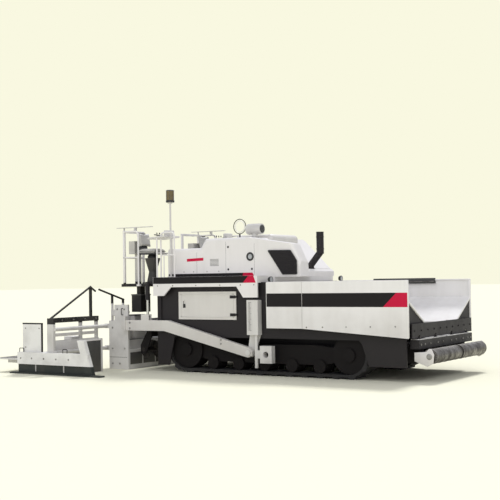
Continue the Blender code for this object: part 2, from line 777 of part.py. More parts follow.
def make_hopper_rear(white):
    """The fixed rear of the hopper: its rear wall, sloped floors and outer walls."""
    front, rear = WING_REAR - CLEAR, HOPPER_REAR + PLATE / 2 + SEAT
    inner, outer = WING_HINGE_Y - 0.03, HALF_WIDTH - WALL / 2
    pieces = [
        prism(
            [
                (-inner, FRAME_DECK - 0.02),
                (-outer, WALL_FLOOR_Z - 0.02),
                (-outer, REAR_WALL_TOP),
                (outer, REAR_WALL_TOP),
                (outer, WALL_FLOOR_Z - 0.02),
                (inner, FRAME_DECK - 0.02),
            ],
            "x",
            (rear, rear + WALL),
        )
    ]
    for side in (-1, 1):
        pieces.append(prism(slope_outline(side), "x", (rear + 0.01, front)))
        wall = (side * HALF_WIDTH, side * (HALF_WIDTH - WALL))
        pieces.append(box((rear, front), wall, (PANEL_BOTTOM_REAR, HOPPER_TOP)))
        stay = (side * (HALF_WIDTH - WALL / 2), side * (FENDER_Y + WALL + SEAT))
        pieces.append(box((rear + 0.10, rear + 0.16), stay, (0.955, 1.05)))
    return assemble("hopper_rear", white, pieces)


def make_apron(black):
    x, z = FRONT + APRON_HINGE_X, APRON_HINGE_Z
    leaf = box((x - APRON_THICK / 2, x + APRON_THICK / 2), (-APRON_HALF, APRON_HALF), (z, APRON_TOP))
    notches = []
    for y in APRON_LUGS:
        reach = APRON_LUG_WIDTH / 2 + CLEAR
        notches.append(box((x - 0.05, x + 0.05), (y - reach, y + reach), (z - 0.05, z + 0.045)))
    apron = assemble("leaf", black, [leaf], notches)
    pin = rod((x, -APRON_HALF, z), (x, APRON_HALF, z), APRON_PIN_RADIUS)
    hinge_at(assemble("hopper_apron", black, [apron, pin]), x, 0, z)


# ---------------------------------------------------------------- push rollers
def make_push_rollers(steel):
    bar_rear = YOKE_X - YOKE_BAR_THICK / 2
    pieces = [
        box((bar_rear, bar_rear + YOKE_BAR_THICK), (-YOKE_HALF, YOKE_HALF), (YOKE_BOTTOM, YOKE_TOP)),
        rod((YOKE_X, 0, YOKE_BOTTOM), (YOKE_X, 0, YOKE_TOP), YOKE_HUB_RADIUS),
    ]
    for low, high in (
        (-YOKE_HALF, -YOKE_HALF + YOKE_CHEEK),
        (-YOKE_CHEEK / 2, YOKE_CHEEK / 2),
        (YOKE_HALF - YOKE_CHEEK, YOKE_HALF),
    ):
        pieces.append(box((YOKE_X, ROLLER_X + 0.05), (low, high), (YOKE_BOTTOM, YOKE_TOP)))
    cuts = [
        bore((YOKE_X, 0, YOKE_BOTTOM - 0.1), (YOKE_X, 0, YOKE_TOP + 0.1), YOKE_PIN_RADIUS),
        bore((ROLLER_X, -2, ROLLER_Z), (ROLLER_X, 2, ROLLER_Z), ROLLER_PIN_RADIUS),
    ]
    hinge_at(assemble("roller_yoke", steel, pieces, cuts), YOKE_X, 0, ROLLER_Z)
    drum_ends = ((ROLLER_X, -y, ROLLER_Z) for y in (ROLLER_OUTER_Y, ROLLER_INNER_Y))
    drum = rod(*drum_ends, ROLLER_RADIUS, 28)
    pin = rod(
        (ROLLER_X, -YOKE_HALF + 0.002, ROLLER_Z),
        (ROLLER_X, -0.003, ROLLER_Z),
        ROLLER_PIN_RADIUS,
    )
    rollers = pair("push_roller", steel, [drum, pin])
    hinge_both(rollers, ROLLER_X, -(ROLLER_INNER_Y + ROLLER_OUTER_Y) / 2, ROLLER_Z)
    for solid in rollers:
        smooth_round(solid)


# ---------------------------------------------------------------- hood and engine
def hood_side(shrink):
    """The hood's side outline, moved in by shrink, and open at the bottom where it is a cavity."""
    low = LEDGE_Z + (SEAT if shrink == 0 else -0.1)
    return [
        (HOOD_REAR + shrink, low),
        (HOOD_REAR + shrink, HOOD_REAR_ROOF - shrink),
        (back(HOOD_STEP[0]) + shrink * 0.3, HOOD_REAR_ROOF - shrink),
        (back(HOOD_STEP[1]) + shrink * 0.3, HOOD_ROOF - shrink),
        (back(HOOD_CREST_END), HOOD_ROOF - shrink),
        (SHELL_FRONT - shrink, HOOD_FRONT_ROOF - shrink),
        (SHELL_FRONT - shrink, low),
    ]


def brow_side(shrink):
    """Side outline of the tall part of the nose, beside the louvre."""
    rear = back(HOOD_CREST_END) - 0.02
    return [
        (rear, NOSE_BOTTOM + shrink),
        (rear, HOOD_ROOF - 0.004 - shrink),
        (back(NOSE_BROW_BACK) - shrink * 0.5, NOSE_TOP - shrink),
        (back(NOSE_FRONT_BACK) - shrink, NOSE_BROW_Z - shrink * 0.5),
        (back(NOSE_FRONT_BACK) - shrink, NOSE_BOTTOM + shrink),
    ]


def nose_side(shrink):
    """Side outline of the low part of the nose."""
    rear = SHELL_FRONT - 0.10
    return [
        (rear, NOSE_BOTTOM + shrink),
        (rear, NOSE_LOW_TOP - shrink),
        (back(NOSE_LOW_BACK) - shrink * 0.5, NOSE_LOW_TOP - shrink),
        (back(NOSE_FRONT_BACK) - shrink, NOSE_LOW_BROW - shrink * 0.5),
        (back(NOSE_FRONT_BACK) - shrink, NOSE_BOTTOM + shrink),
    ]


def round_edges(obj, radius, wanted):
    """Rounds the edges whose two ends both pass the test."""
    made = bmesh.new()
    made.from_mesh(obj.data)
    edges = [edge for edge in made.edges if all(wanted(vert.co) for vert in edge.verts)]
    edges = [edge for edge in edges if abs(edge.verts[0].co.y - edge.verts[1].co.y) < SEAT]
    bmesh.ops.bevel(made, geom=edges, offset=radius, segments=3, profile=0.5, affect="EDGES")
    made.to_mesh(obj.data)
    made.free()
    return obj


def make_hood(white):
    outer = prism(hood_side(0), "y", (-HOOD_HALF, HOOD_HALF))
    round_edges(outer, HOOD_BEND, lambda at: at.z > HOOD_REAR_ROOF - SEAT)
    inner = prism(hood_side(HOOD_SHELL), "y", (-HOOD_HALF + HOOD_SHELL, HOOD_HALF - HOOD_SHELL))
    brow = prism(brow_side(0), "y", (-HOOD_HALF, -BROW_INNER_Y))
    round_edges(brow, HOOD_BEND, lambda at: at.x > SHELL_FRONT - SEAT and at.z > NOSE_BROW_Z - SEAT)
    brow_span = (-HOOD_HALF + HOOD_SHELL, -BROW_INNER_Y - HOOD_SHELL)
    brow_inner = prism(brow_side(HOOD_SHELL), "y", brow_span)
    nose = prism(nose_side(0), "y", (-HOOD_HALF + 0.05, NOSE_LEFT_Y))
    nose_inner = prism(nose_side(HOOD_SHELL), "y", (-HOOD_HALF + 0.10, NOSE_LEFT_Y - HOOD_SHELL))
    return assemble("engine_hood", white, [outer, brow, nose], [inner, brow_inner, nose_inner])


def make_hood_fittings(black, grey, amber):
    side = -HOOD_HALF - SEAT
    louvre = [
        (back(3.18), 2.48),
        (back(2.66), 2.47),
        (back(2.52), 2.27),
        (back(2.52), 2.00),
        (back(2.84), 2.00),
    ]
    assemble("side_grille", black, [prism(louvre, "y", (side, side - GRILLE_THICK))])
    engine = box((back(ENGINE_BACK[0]), back(ENGINE_BACK[1])), (-ENGINE_HALF, ENGINE_HALF),
                 (FRAME_DECK + SEAT, ENGINE_TOP))
    assemble("engine_block", black, [engine])
    x, foot_x, foot = back(STACK_BACK), back(STACK_FOOT_BACK), NOSE_LOW_TOP + SEAT
    stack = [
        rod((x, STACK_Y, STACK_ELBOW_Z), (x, STACK_Y, STACK_TOP), STACK_RADIUS, 20),
        rod((foot_x, STACK_Y, foot + 0.055), (x, STACK_Y, STACK_ELBOW_Z + 0.03), STACK_RADIUS * 0.9, 14),
        rod((foot_x, STACK_Y, foot), (foot_x, STACK_Y, foot + 0.08), STACK_RADIUS * 1.1, 16),
    ]
    smooth_round(assemble("exhaust_stack", black, stack))
    near, far = (back(value) for value in CLEANER_BACK)
    middle = (near + far) / 2
    cleaner = [
        rod((near, STACK_Y, CLEANER_Z), (far, STACK_Y, CLEANER_Z), CLEANER_RADIUS, 24),
        rod((middle, STACK_Y, HOOD_ROOF + SEAT), (middle, STACK_Y, CLEANER_Z), 0.06),
    ]
    smooth_round(assemble("air_precleaner", grey, cleaner))
    x, y = back(MAST_BACK), -HOOD_HALF - 0.06
    foot = LEDGE_Z + BAND_HEIGHT + SEAT
    mast = [
        rod((x, y, foot), (x, y, MAST_TOP), MAST_RADIUS),
        rod((x, y, MAST_TOP - 0.03), (x, y, MAST_TOP), 0.05),
        box((x - 0.05, x + 0.05), (y - 0.05, y + 0.05), (foot, foot + 0.02)),
    ]
    assemble("beacon_mast", black, mast)
    lamp = rod((x, y, MAST_TOP + SEAT), (x, y, MAST_TOP + BEACON_HEIGHT), BEACON_RADIUS, 20)
    smooth_round(assemble("beacon", amber, [lamp]))


# ---------------------------------------------------------------- operator's deck
def make_deck(black):
    front = BODY_REAR - SEAT
    plate = box((DECK_REAR, front), (-DECK_HALF, DECK_HALF), (LEDGE_Z - DECK_THICK, LEDGE_Z))
    x, low = DECK_REAR + 0.06, LEDGE_Z - DECK_THICK / 2
    half = RAIL_RADIUS
    pieces = [plate]
    for side in (-1, 1):
        seat_x, seat_y = back(SEAT_BACK), side * SEAT_Y
        foot, waist, head = ((seat_x, seat_y, z) for z in (low, PEDESTAL_WAIST, PEDESTAL_TOP))
        under = (seat_x, seat_y, PEDESTAL_WAIST - 0.02)
        pieces.append(rod(foot, waist, PEDESTAL_FOOT, 16, PEDESTAL_RADIUS))
        pieces.append(rod(under, head, PEDESTAL_RADIUS, 16, PEDESTAL_HEAD))
        for y in (side * RAIL_INNER_Y, side * RAIL_OUTER_Y):
            pieces.append(box((x - half, x + half), (y - half, y + half), (low, RAIL_TOP - half / 2)))
        for z, bar_half in ((RAIL_TOP, half * 1.1), (RAIL_MIDDLE, half * 0.8)):
            span = (side * (RAIL_INNER_Y - half * 1.2), side * (RAIL_OUTER_Y + half * 1.2))
            pieces.append(box((x - bar_half, x + bar_half), span, (z - bar_half, z + bar_half)))
        near, far = (back(value) for value in SERVICE_BOX_BACK)
        pieces.append(box((near, far), [side * value for value in SERVICE_BOX_Y], SERVICE_BOX_Z))
        hanger = [side * value for value in (SERVICE_BOX_Y[0] + 0.08, SERVICE_BOX_Y[1] - 0.08)]
        hanger_z = (SERVICE_BOX_Z[1] - 0.02, LEDGE_Z - DECK_THICK / 2)
        pieces.append(box((near + 0.08, far - 0.08), hanger, hanger_z))
        near, far = (back(value) for value in CONSOLE_BACK)
        inner, outer = (side * value for value in CONSOLE_Y)
        pieces.append(box((near, far), (inner, outer), CONSOLE_Z))
        post = ((near + far) / 2 - 0.05, (near + far) / 2 + 0.05)
        pieces.append(box(post, (side * 1.02, side * 1.12), (low, CONSOLE_Z[0] + 0.02)))
    return assemble("operator_platform", black, pieces)


def make_seats(black):
    x, y = back(SEAT_BACK), -SEAT_Y
    half = SEAT_PAD_HALF
    pieces = [
        box((x - half - 0.04, x + half), (y - half, y + half), (SEAT_PAD_BOTTOM, SEAT_PAD_TOP)),
        prism(
            [
                (x - half + 0.06, SEAT_PAD_TOP - 0.06),
                (x - half - 0.01, SEAT_BACKREST_TOP),
                (x - half - 0.09, SEAT_BACKREST_TOP),
                (x - half - 0.03, SEAT_PAD_TOP - 0.06),
            ],
            "y",
            (y - half + 0.01, y + half - 0.01),
        ),
        rod((x, y, PEDESTAL_TOP + RUN), (x, y, SEAT_PAD_BOTTOM + 0.02), 0.11),
    ]
    hinge_both(pair("seat", black, pieces), x, y, PEDESTAL_TOP)


# ---------------------------------------------------------------- tow points and arms
def make_tow_points(white):
    near, far = (back(value) for value in TOW_HOUSING_BACK)
    inner = -FENDER_Y - WALL - SEAT
    cheek = (inner, inner - 0.02)
    outer = -ARM_Y - ARM_THICK / 2
    channel = box((near, far), (inner, outer - 0.01), TOW_HOUSING_Z)
    bracket = prism(
        [
            (near, TOW_HOUSING_Z[0] + 0.05),
            (far, TOW_HOUSING_Z[0] + 0.05),
            (TOW_X + 0.09, TOW_PIN_Z - 0.04),
            (TOW_X + 0.03, TOW_PIN_Z - 0.09),
            (TOW_X - 0.03, TOW_PIN_Z - 0.09),
            (TOW_X - 0.09, TOW_PIN_Z - 0.04),
        ],
        "y",
        cheek,
    )
    pin = rod((TOW_X, inner - 0.001, TOW_PIN_Z), (TOW_X, outer - 0.03, TOW_PIN_Z), TOW_PIN_RADIUS)
    cap = rod((TOW_X, outer - CLEAR, TOW_PIN_Z), (TOW_X, outer - 0.03, TOW_PIN_Z), TOW_PIN_RADIUS + 0.02)
    rod_x = back(TOW_ROD_BACK)
    stop = rod((rod_x, -ARM_Y, TOW_ROD_BOTTOM), (rod_x, -ARM_Y, TOW_HOUSING_Z[0] + 0.02), TOW_ROD_RADIUS, 12)
    near, far = (back(value) for value in TOW_BLOCK_BACK)
    block = box((near, far), (inner, outer), TOW_BLOCK_Z)
    middle = sum(TOW_BLOCK_Z) / 2
    tie = box((rod_x, near + 0.02), (-ARM_Y - 0.02, -ARM_Y + 0.02), (middle - 0.08, middle + 0.08))
    hole_x = (near + far) / 2
    eye = rod((hole_x, inner + 0.1, middle), (hole_x, outer - 0.1, middle), TOW_BLOCK_BORE)
    return pair("tow_point", white, [channel, bracket, pin, cap, stop, block, tie], [eye])


def make_arms(grey):
    """Level rear part bolted to the screed, and a part that slopes down to the tow pin."""
    half, kink = ARM_HEIGHT / 2, (back(ARM_KINK_BACK), ARM_KINK_Z)
    rear = back(ARM_REAR_BACK)
    run = math.hypot(kink[0] - TOW_X, kink[1] - TOW_PIN_Z)
    across = Vector(((kink[1] - TOW_PIN_Z) / run, (TOW_X - kink[0]) / run)) * half
    knee_top = (kink[0] + 0.05, kink[1] + half)
    knee_low = (kink[0] - 0.05, kink[1] - half)
    outline = [
        (rear, kink[1] - half),
        (rear, kink[1] + half),
        knee_top,
        (TOW_X + across.x * 0.6, TOW_PIN_Z + across.y * 0.9),
        (TOW_X + 0.08, TOW_PIN_Z + 0.03),
        (TOW_X + 0.08, TOW_PIN_Z - 0.06),
        (TOW_X - across.x * 0.6, TOW_PIN_Z - across.y * 0.9),
        knee_low,
    ]
    inner, outer = -ARM_Y + ARM_THICK / 2, -ARM_Y - ARM_THICK / 2
    pieces = [prism(outline, "y", (inner, outer))]
    pad_y = (-SCREED_HALF - END_PLATE - SEAT, inner - 0.03)
    pad_z = (kink[1] - 0.09, kink[1] + 0.07)
    pieces.append(box((back(ARM_PAD_BACK), back(SCREED_BACK - 0.10)), pad_y, pad_z))
    flange_y = (-SCREED_HALF - END_PLATE - SEAT, outer - 0.02)
    flange_z = (kink[1] - half, kink[1] + half + 0.08)
    pieces.append(box((rear - ARM_FLANGE, rear + 0.005), flange_y, flange_z))
    for side in (-1, 1):
        y = -ARM_Y + side * (ARM_LUG_GAP + 0.005)
        top = kink[1] + half
        pieces.append(
            box((CYLINDER_X - 0.15, CYLINDER_X + 0.06), (y - 0.005, y + 0.005), (top - 0.02, ROD_END + 0.05))
        )
    hole = bore((TOW_X, inner + 0.1, TOW_PIN_Z), (TOW_X, outer - 0.1, TOW_PIN_Z), TOW_PIN_RADIUS)
    hinge_both(pair("tow_arm", grey, pieces, [hole]), TOW_X, -ARM_Y, TOW_PIN_Z)


def make_lift_cylinders(black, steel):
    x, y = CYLINDER_X, -ARM_Y
    barrel = [
        rod((x, y, CYLINDER_BOTTOM), (x, y, CYLINDER_TOP), CYLINDER_RADIUS),
        box((x - 0.05, x + 0.05), (-DECK_HALF - SEAT, y), (LEDGE_Z - DECK_THICK, LEDGE_Z)),
    ]
    hollow = bore((x, y, CYLINDER_BOTTOM - 0.1), (x, y, CYLINDER_TOP - 0.02), ROD_RADIUS)
    for solid in pair("lift_cylinder", black, barrel, [hollow]):
        smooth_round(solid)
    pieces = [
        rod((x, y, ROD_END), (x, y, ROD_TOP), ROD_RADIUS),
        rod((x, y - 0.028, ROD_END), (x, y + 0.028, ROD_END), 0.04),
    ]
    rods = pair("lift_rod", steel, pieces)
    hinge_both(rods, x, y, ROD_END)
    for solid in rods:
        smooth_round(solid)


# ---------------------------------------------------------------- augers
def flight():
    """One screw blade wound along -Y, its root inside the shaft."""
    inner, outer = AUGER_SHAFT * 0.62, AUGER_RADIUS
    length = AUGER_FLIGHT_Y[1] - AUGER_FLIGHT_Y[0]
    steps = int(length / AUGER_PITCH * 17)
    made = bmesh.new()
    rings = []
    for step in range(steps + 1):
        along = length * step / steps
        angle = 2 * math.pi * along / AUGER_PITCH
        ring = []
        for radius, shift in ((inner, 0), (outer, 0), (outer, AUGER_FLIGHT), (inner, AUGER_FLIGHT)):
            y = -AUGER_FLIGHT_Y[0] - along - shift
            place = (AUGER_X + radius * math.cos(angle), y, AUGER_Z + radius * math.sin(angle))
            ring.append(made.verts.new(place))
        rings.append(ring)
    for this, after in zip(rings, rings[1:]):
        for index in range(4):
            following = (index + 1) % 4
            made.faces.new((this[index], this[following], after[following], after[index]))
    made.faces.new(rings[0])
    made.faces.new(rings[-1])
    bmesh.ops.triangulate(made, faces=made.faces)
    return object_from(made)


def make_augers(steel, black):
    shaft = rod(
        (AUGER_X, -AUGER_HANGER[1] + 0.002, AUGER_Z),
        (AUGER_X, -AUGER_CASE_HALF + 0.03, AUGER_Z),
        AUGER_SHAFT,
    )
    augers = pair("auger", steel, [shaft, flight()])
    hinge_both(augers, AUGER_X, -sum(AUGER_FLIGHT_Y) / 2, AUGER_Z)
    for solid in augers:
        smooth_round(solid)
    near, far = (back(value) for value in AUGER_BEAM_BACK)
    case = (-AUGER_CASE_HALF, AUGER_CASE_HALF)
    pieces = [
        box((near, far), (-AUGER_HANGER[1], AUGER_HANGER[1]), AUGER_BEAM_Z),
        box((AUGER_X - 0.09, AUGER_X + 0.09), case, (AUGER_Z - 0.12, AUGER_BEAM_Z[1])),
        box((AUGER_X, near + 0.02), case, AUGER_BEAM_Z),
    ]
    for side in (-1, 1):
        inner, outer = (side * value for value in AUGER_HANGER)
        plate = [
            (AUGER_X - 0.07, AUGER_Z - 0.08),
            (AUGER_X + 0.07, AUGER_Z - 0.08),
            (far, AUGER_BEAM_Z[0] + 0.01),
            (far, AUGER_BEAM_Z[1]),
            (near, AUGER_BEAM_Z[1]),
            (AUGER_X - 0.07, AUGER_Z + 0.10),
        ]
        pieces.append(prism(plate, "y", (inner, outer)))
        stay = (side * 0.62, side * 0.74)
        pieces.append(box((far - 0.02, FRAME_REAR - SEAT), stay, AUGER_BEAM_Z))
    cut = bore((AUGER_X, -2, AUGER_Z), (AUGER_X, 2, AUGER_Z), AUGER_SHAFT)
    return assemble("auger_frame", black, pieces, [cut])


# ---------------------------------------------------------------- screed
def sleeve(side, station, z):
    y = side * station
    half = SLEEVE_WIDTH / 2
    return [
        box(
            (TUBE_X - TUBE_RADIUS - 0.012, SCREED_REAR + POST / 2),
            (y - half, y + half),
            (z - SLEEVE_HALF, z + SLEEVE_HALF),
        ),
    ]


def make_screed(grey):
    top = SCREED_PLATE_TOP
    pieces = [box((SCREED_REAR, SCREED_FRONT), (-SCREED_HALF, SCREED_HALF), (0, SCREED_BOX_TOP))]
    width = (-SCREED_HALF, SCREED_HALF)
    pieces.append(box((SCREED_REAR + 0.08, SCREED_FRONT - 0.10), width, (SCREED_BOX_TOP - 0.02, 0.62)))
    pieces.append(box((SCREED_REAR, SCREED_REAR + POST), (-SCREED_HALF, SCREED_HALF), (0.94, top)))
    cuts = []
    for side, heights in ((-1, RIGHT_TUBES_Z), (1, LEFT_TUBES_Z)):
        plate = [
            (SCREED_REAR + 0.02, 0.0),
            (SCREED_FRONT + 0.02, 0.0),
            (SCREED_FRONT + 0.02, END_TAB_TOP),
            (SCREED_FRONT - END_TAB_DEPTH, END_TAB_TOP),
            (SCREED_FRONT - END_TAB_DEPTH, top),
            (SCREED_REAR + 0.02, top),
        ]
        pieces.append(prism(plate, "y", (side * (SCREED_HALF - 0.01), side * (SCREED_HALF + END_PLATE))))
        for station in SLEEVE_STATIONS:
            y = side * station
            post = (y - POST / 2, y + POST / 2)
            pieces.append(box((SCREED_REAR, SCREED_REAR + POST), post, (SCREED_BOX_TOP - 0.02, top - 0.02)))
            for z in heights:
                pieces.extend(sleeve(side, station, z))
        for z in heights:
            cuts.append(bore((TUBE_X, 0, z), (TUBE_X, side * 2, z), TUBE_RADIUS))
        x = SCREED_REAR + POST / 2
        outer_end, inner_end = ((x, side * y, z) for y, z in SCREED_GUIDE)
        pieces.append(rod(outer_end, inner_end, HOSE_GUIDE_RADIUS, 10))
        guide = (outer_end[2] - inner_end[2]) / (outer_end[1] - inner_end[1])
        for y in (side * (SCREED_HALF - 0.06), inner_end[1] * 1.03):
            z = inner_end[2] + (y - inner_end[1]) * guide
            pieces.append(box((x - 0.02, x + 0.02), (y - 0.02, y + 0.02), (top - 0.03, z)))
        cylinder = [side * value for value in SCREED_CYLINDER_Y]
        z = SCREED_CYLINDER_Z
        pieces.append(rod((x + 0.11, cylinder[0], z), (x + 0.11, cylinder[1], z), SCREED_CYLINDER_RADIUS, 20))
        for share in (0.15, 0.85):
            y = cylinder[0] + (cylinder[1] - cylinder[0]) * share
            pieces.append(box((x + 0.08, x + 0.14), (y - 0.02, y + 0.02), (0.60, z)))
    hinge_at(assemble("screed_frame", grey, pieces, cuts), TOW_X, 0, TOW_PIN_Z)


def extension(side, heights):
    """Box, mouldboard, frame, slide tubes and walkway of one extension."""
    inner, outer = side * EXTENSION_INNER_Y, side * EXTENSION_OUTER_Y
    low, high = EXTENSION_BEAM_Z
    front, rear = EXTENSION_FRONT, EXTENSION_REAR
    posts_z = (EXTENSION_BOX_TOP - 0.02, low + 0.02)
    walkway_x = (rear - 0.10 - WALKWAY_DEPTH, rear - 0.10)
    pieces = [
        box((rear, front), (inner, outer), (0, EXTENSION_BOX_TOP)),
        box((front - WALL, front), (inner, outer), (EXTENSION_BOX_TOP - 0.02, MOLDBOARD_TOP)),
        box((front - 0.10, front), (inner, outer), (low, high)),
        box((TUBE_X - 0.02, front - 0.10), (outer, outer - side * POST), (heights[1] - 0.06, high)),
        box((front - 0.08, front - 0.02), (inner, inner + side * POST), posts_z),
        box((front - 0.08, front - 0.02), (inner + side * 0.50, inner + side * 0.56), posts_z),
        box(walkway_x, (inner, outer), (WALKWAY_Z - WALKWAY_THICK, WALKWAY_Z)),
    ]
    strike = FRONT - STRIKE_BACK
    cheek = (outer, outer - side * GATE_THICK)
    strike_inner = outer - side * STRIKE_WIDTH
    pieces.append(box((strike - WALL, strike), (strike_inner, outer), (0.05, STRIKE_TOP)))
    post = (strike_inner, strike_inner - side * 0.04)
    pieces.append(box((strike - POST, strike + 0.01), post, (0.05, STRIKE_TOP + 0.02)))
    pieces.append(box((front - 0.02, strike - 0.005), cheek, (0.05, CHEEK_TOP)))
    for share in (0.12, 0.5, 0.88):
        y = inner + side * EXTENSION_WIDTH * share
        pieces.append(
            box((rear - 0.10 - WALKWAY_DEPTH * 0.8, rear + 0.02), (y - 0.03, y + 0.03),
                (WALKWAY_Z - 0.11, WALKWAY_Z - WALKWAY_THICK / 2))
        )
    for z in heights:
        pieces.append(rod((TUBE_X, outer - side * 0.02, z), (TUBE_X, side * TUBE_INNER_Y, z), TUBE_RADIUS))
    x = front - 0.05
    peak_y, peak_z = HOSE_GUIDE_PEAK
    end_y, end_z = HOSE_GUIDE_END
    over = 0.012
    foot, peak = (x, outer - side * 0.05, high - 0.01), (x, side * (peak_y - over), peak_z + over * 0.4)
    pieces.append(rod(foot, peak, HOSE_GUIDE_RADIUS, 10))
    pieces.append(rod((x, side * (peak_y + over), peak_z), (x, side * end_y, end_z), HOSE_GUIDE_RADIUS, 10))
    post = (side * (peak_y - 0.025), side * (peak_y + 0.025))
    pieces.append(box((x - 0.025, x + 0.025), post, (high - 0.02, peak_z)))
    return pieces


def make_extensions(grey):
    for name, side, heights in (("right", -1, RIGHT_TUBES_Z), ("left", 1, LEFT_TUBES_Z)):
        solid = assemble("screed_extension_" + name, grey, extension(side, heights))
        hinge_at(solid, TUBE_X, side * EXTENSION_INNER_Y, heights[0])


def make_gates(white):
    inner = -EXTENSION_OUTER_Y - RUN
    outer = inner - GATE_THICK
    near, far = back(GATE_REAR_BACK), back(GATE_FRONT_BACK)
    low, high = GATE_BAND_Z
    shoe = prism(
        [(near, 0.01), (far - 0.01, 0.01), (far - 0.20, high), (near, high)],
        "y",
        (inner, outer),
    )
    band = box((near + 0.03, far - 0.12), (outer + 0.01, outer - GATE_BAND), (low, high))
    panel_x = [back(value) for value in GATE_PANEL_BACK]
    panel = box(panel_x, (inner, inner - GATE_THICK * 0.8), (high - 0.02, GATE_PANEL_TOP))
    ski_x = (near - GATE_SKI_REACH * 0.6, far + GATE_SKI_REACH)
    ski = box(ski_x, (inner, outer - GATE_SKI_OUT), (0.0, GATE_SKI_THICK))
    slant = prism(
        [
            (far - 0.20, 0.01),
            (far - 0.002, 0.02),
            (back(STRIKE_BACK) + 0.06, STRIKE_TOP),
            (back(STRIKE_BACK) - 0.12, STRIKE_TOP),
        ],
        "y",
        (inner, outer - GATE_BAND * 0.8),
    )
    hinge_both(pair("end_gate", white, [shoe, band, panel, ski, slant]), EXTENSION_FRONT, inner, 0.0)


def main():
    clear_scene()
    white = material("painted_white", (0.80, 0.79, 0.76), 0.35)
    grey = material("painted_grey", (0.60, 0.58, 0.55), 0.45)
    black = material("painted_black", (0.02, 0.02, 0.02), 0.45)
    rubber = material("track_rubber", (0.015, 0.015, 0.015), 0.8)
    steel = material("bare_steel", (0.35, 0.34, 0.33), 0.45, 0.8)
    amber = material("amber_lens", (0.70, 0.25, 0.02), 0.2)
    make_tracks(rubber, black)
    make_frame(black)
    make_conveyor(steel)
    make_fenders(black)
    make_doors(grey)
    make_skirts(white)
    make_wings(white)
    make_hopper_rear(white)
    make_apron(black)
    make_push_rollers(steel)
    make_hood(white)
    make_hood_fittings(black, grey, amber)
    make_deck(black)
    make_seats(black)
    make_tow_points(white)
    make_arms(grey)
    make_lift_cylinders(black, steel)
    make_augers(steel, black)
    make_screed(grey)
    make_extensions(grey)
    make_gates(white)


main()
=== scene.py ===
"""Finishes, trim and fittings of the tracked asphalt paver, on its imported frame. Metres, +X forward, +Z up."""
import json
import math

import bpy
from mathutils import Matrix, Vector

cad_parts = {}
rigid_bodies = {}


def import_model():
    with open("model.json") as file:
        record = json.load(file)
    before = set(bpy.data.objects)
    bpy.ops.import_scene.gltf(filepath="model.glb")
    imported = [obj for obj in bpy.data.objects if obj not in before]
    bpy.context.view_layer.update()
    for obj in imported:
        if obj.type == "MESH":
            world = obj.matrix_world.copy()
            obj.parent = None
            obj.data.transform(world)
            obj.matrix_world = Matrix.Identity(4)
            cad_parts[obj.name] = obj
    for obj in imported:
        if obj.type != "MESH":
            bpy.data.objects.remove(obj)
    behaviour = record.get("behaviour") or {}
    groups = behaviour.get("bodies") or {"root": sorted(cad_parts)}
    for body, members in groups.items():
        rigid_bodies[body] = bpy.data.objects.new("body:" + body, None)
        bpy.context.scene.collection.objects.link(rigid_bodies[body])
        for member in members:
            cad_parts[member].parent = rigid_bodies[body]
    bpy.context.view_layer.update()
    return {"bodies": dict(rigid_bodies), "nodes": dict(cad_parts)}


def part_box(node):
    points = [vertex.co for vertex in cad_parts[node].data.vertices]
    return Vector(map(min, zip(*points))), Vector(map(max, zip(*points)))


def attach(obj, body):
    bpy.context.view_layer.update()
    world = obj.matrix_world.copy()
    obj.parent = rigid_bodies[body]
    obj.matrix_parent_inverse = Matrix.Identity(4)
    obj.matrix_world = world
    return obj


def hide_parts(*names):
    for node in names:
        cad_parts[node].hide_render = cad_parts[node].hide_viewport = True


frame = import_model()
NODES = frame["nodes"]

MM = 0.001
FILM = 0.0012            # stripe film
GAP = 0.3 * MM           # between a trim plate and the wall it lies on
SIDES = (("right", -1), ("left", 1))

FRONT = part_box("hopper_wing_right")[1].x
WALL_Y = abs(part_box("hopper_rear")[0].y)
HOPPER_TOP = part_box("hopper_rear")[1].z
HOOD_Y = abs(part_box("engine_hood")[0].y)
HOOD_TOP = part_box("engine_hood")[1].z


def back(distance):
    """X of a station that far behind the hopper's front."""
    return FRONT - distance


# ---------------------------------------------------------------- camera, floor and light
LENS_LENGTH = 71.73
CAMERA_PLACE = (11.746, -17.986, 1.905)
CAMERA_TURNS = ((33.365, "Z"), (91.697, "X"), (-0.893, "Z"))                    # pan, tilt and roll
SUNS = (("key", 2.4, 14, (-34, -10, 0)), ("fill", 0.8, 70, (55, 0, 25)))        # strength, spread and turns


def set_camera():
    """A long lens from the front right corner, at standing height."""
    lens = bpy.data.cameras.new("camera")
    lens.lens = LENS_LENGTH
    lens.sensor_width = 36
    camera = bpy.data.objects.new("camera", lens)
    bpy.context.scene.collection.objects.link(camera)
    placing = Matrix.Translation(CAMERA_PLACE)
    for degrees, axis in CAMERA_TURNS:
        placing = placing @ Matrix.Rotation(math.radians(degrees), 4, axis)
    camera.matrix_world = placing
    bpy.context.scene.camera = camera
    bpy.context.scene.view_settings.view_transform = "Standard"


def linear(code):
    """Linear colour of an sRGB hex value."""
    parts = [int(code[start:start + 2], 16) / 255 for start in (1, 3, 5)]
    return (*[p / 12.92 if p <= 0.04045 else ((p + 0.055) / 1.055) ** 2.4 for p in parts], 1.0)


def add(tree, kind, settings=None, links=None):
    """One shader node, with its settings, and its inputs linked from (node, output) pairs."""
    made = tree.nodes.new("ShaderNode" + kind)
    for key, value in (settings or {}).items():
        if hasattr(made, str(key)):
            setattr(made, key, value)
        else:
            made.inputs[key].default_value = value
    for key, (source, output) in (links or {}).items():
        tree.links.new(source.outputs[output], made.inputs[key])
    return made


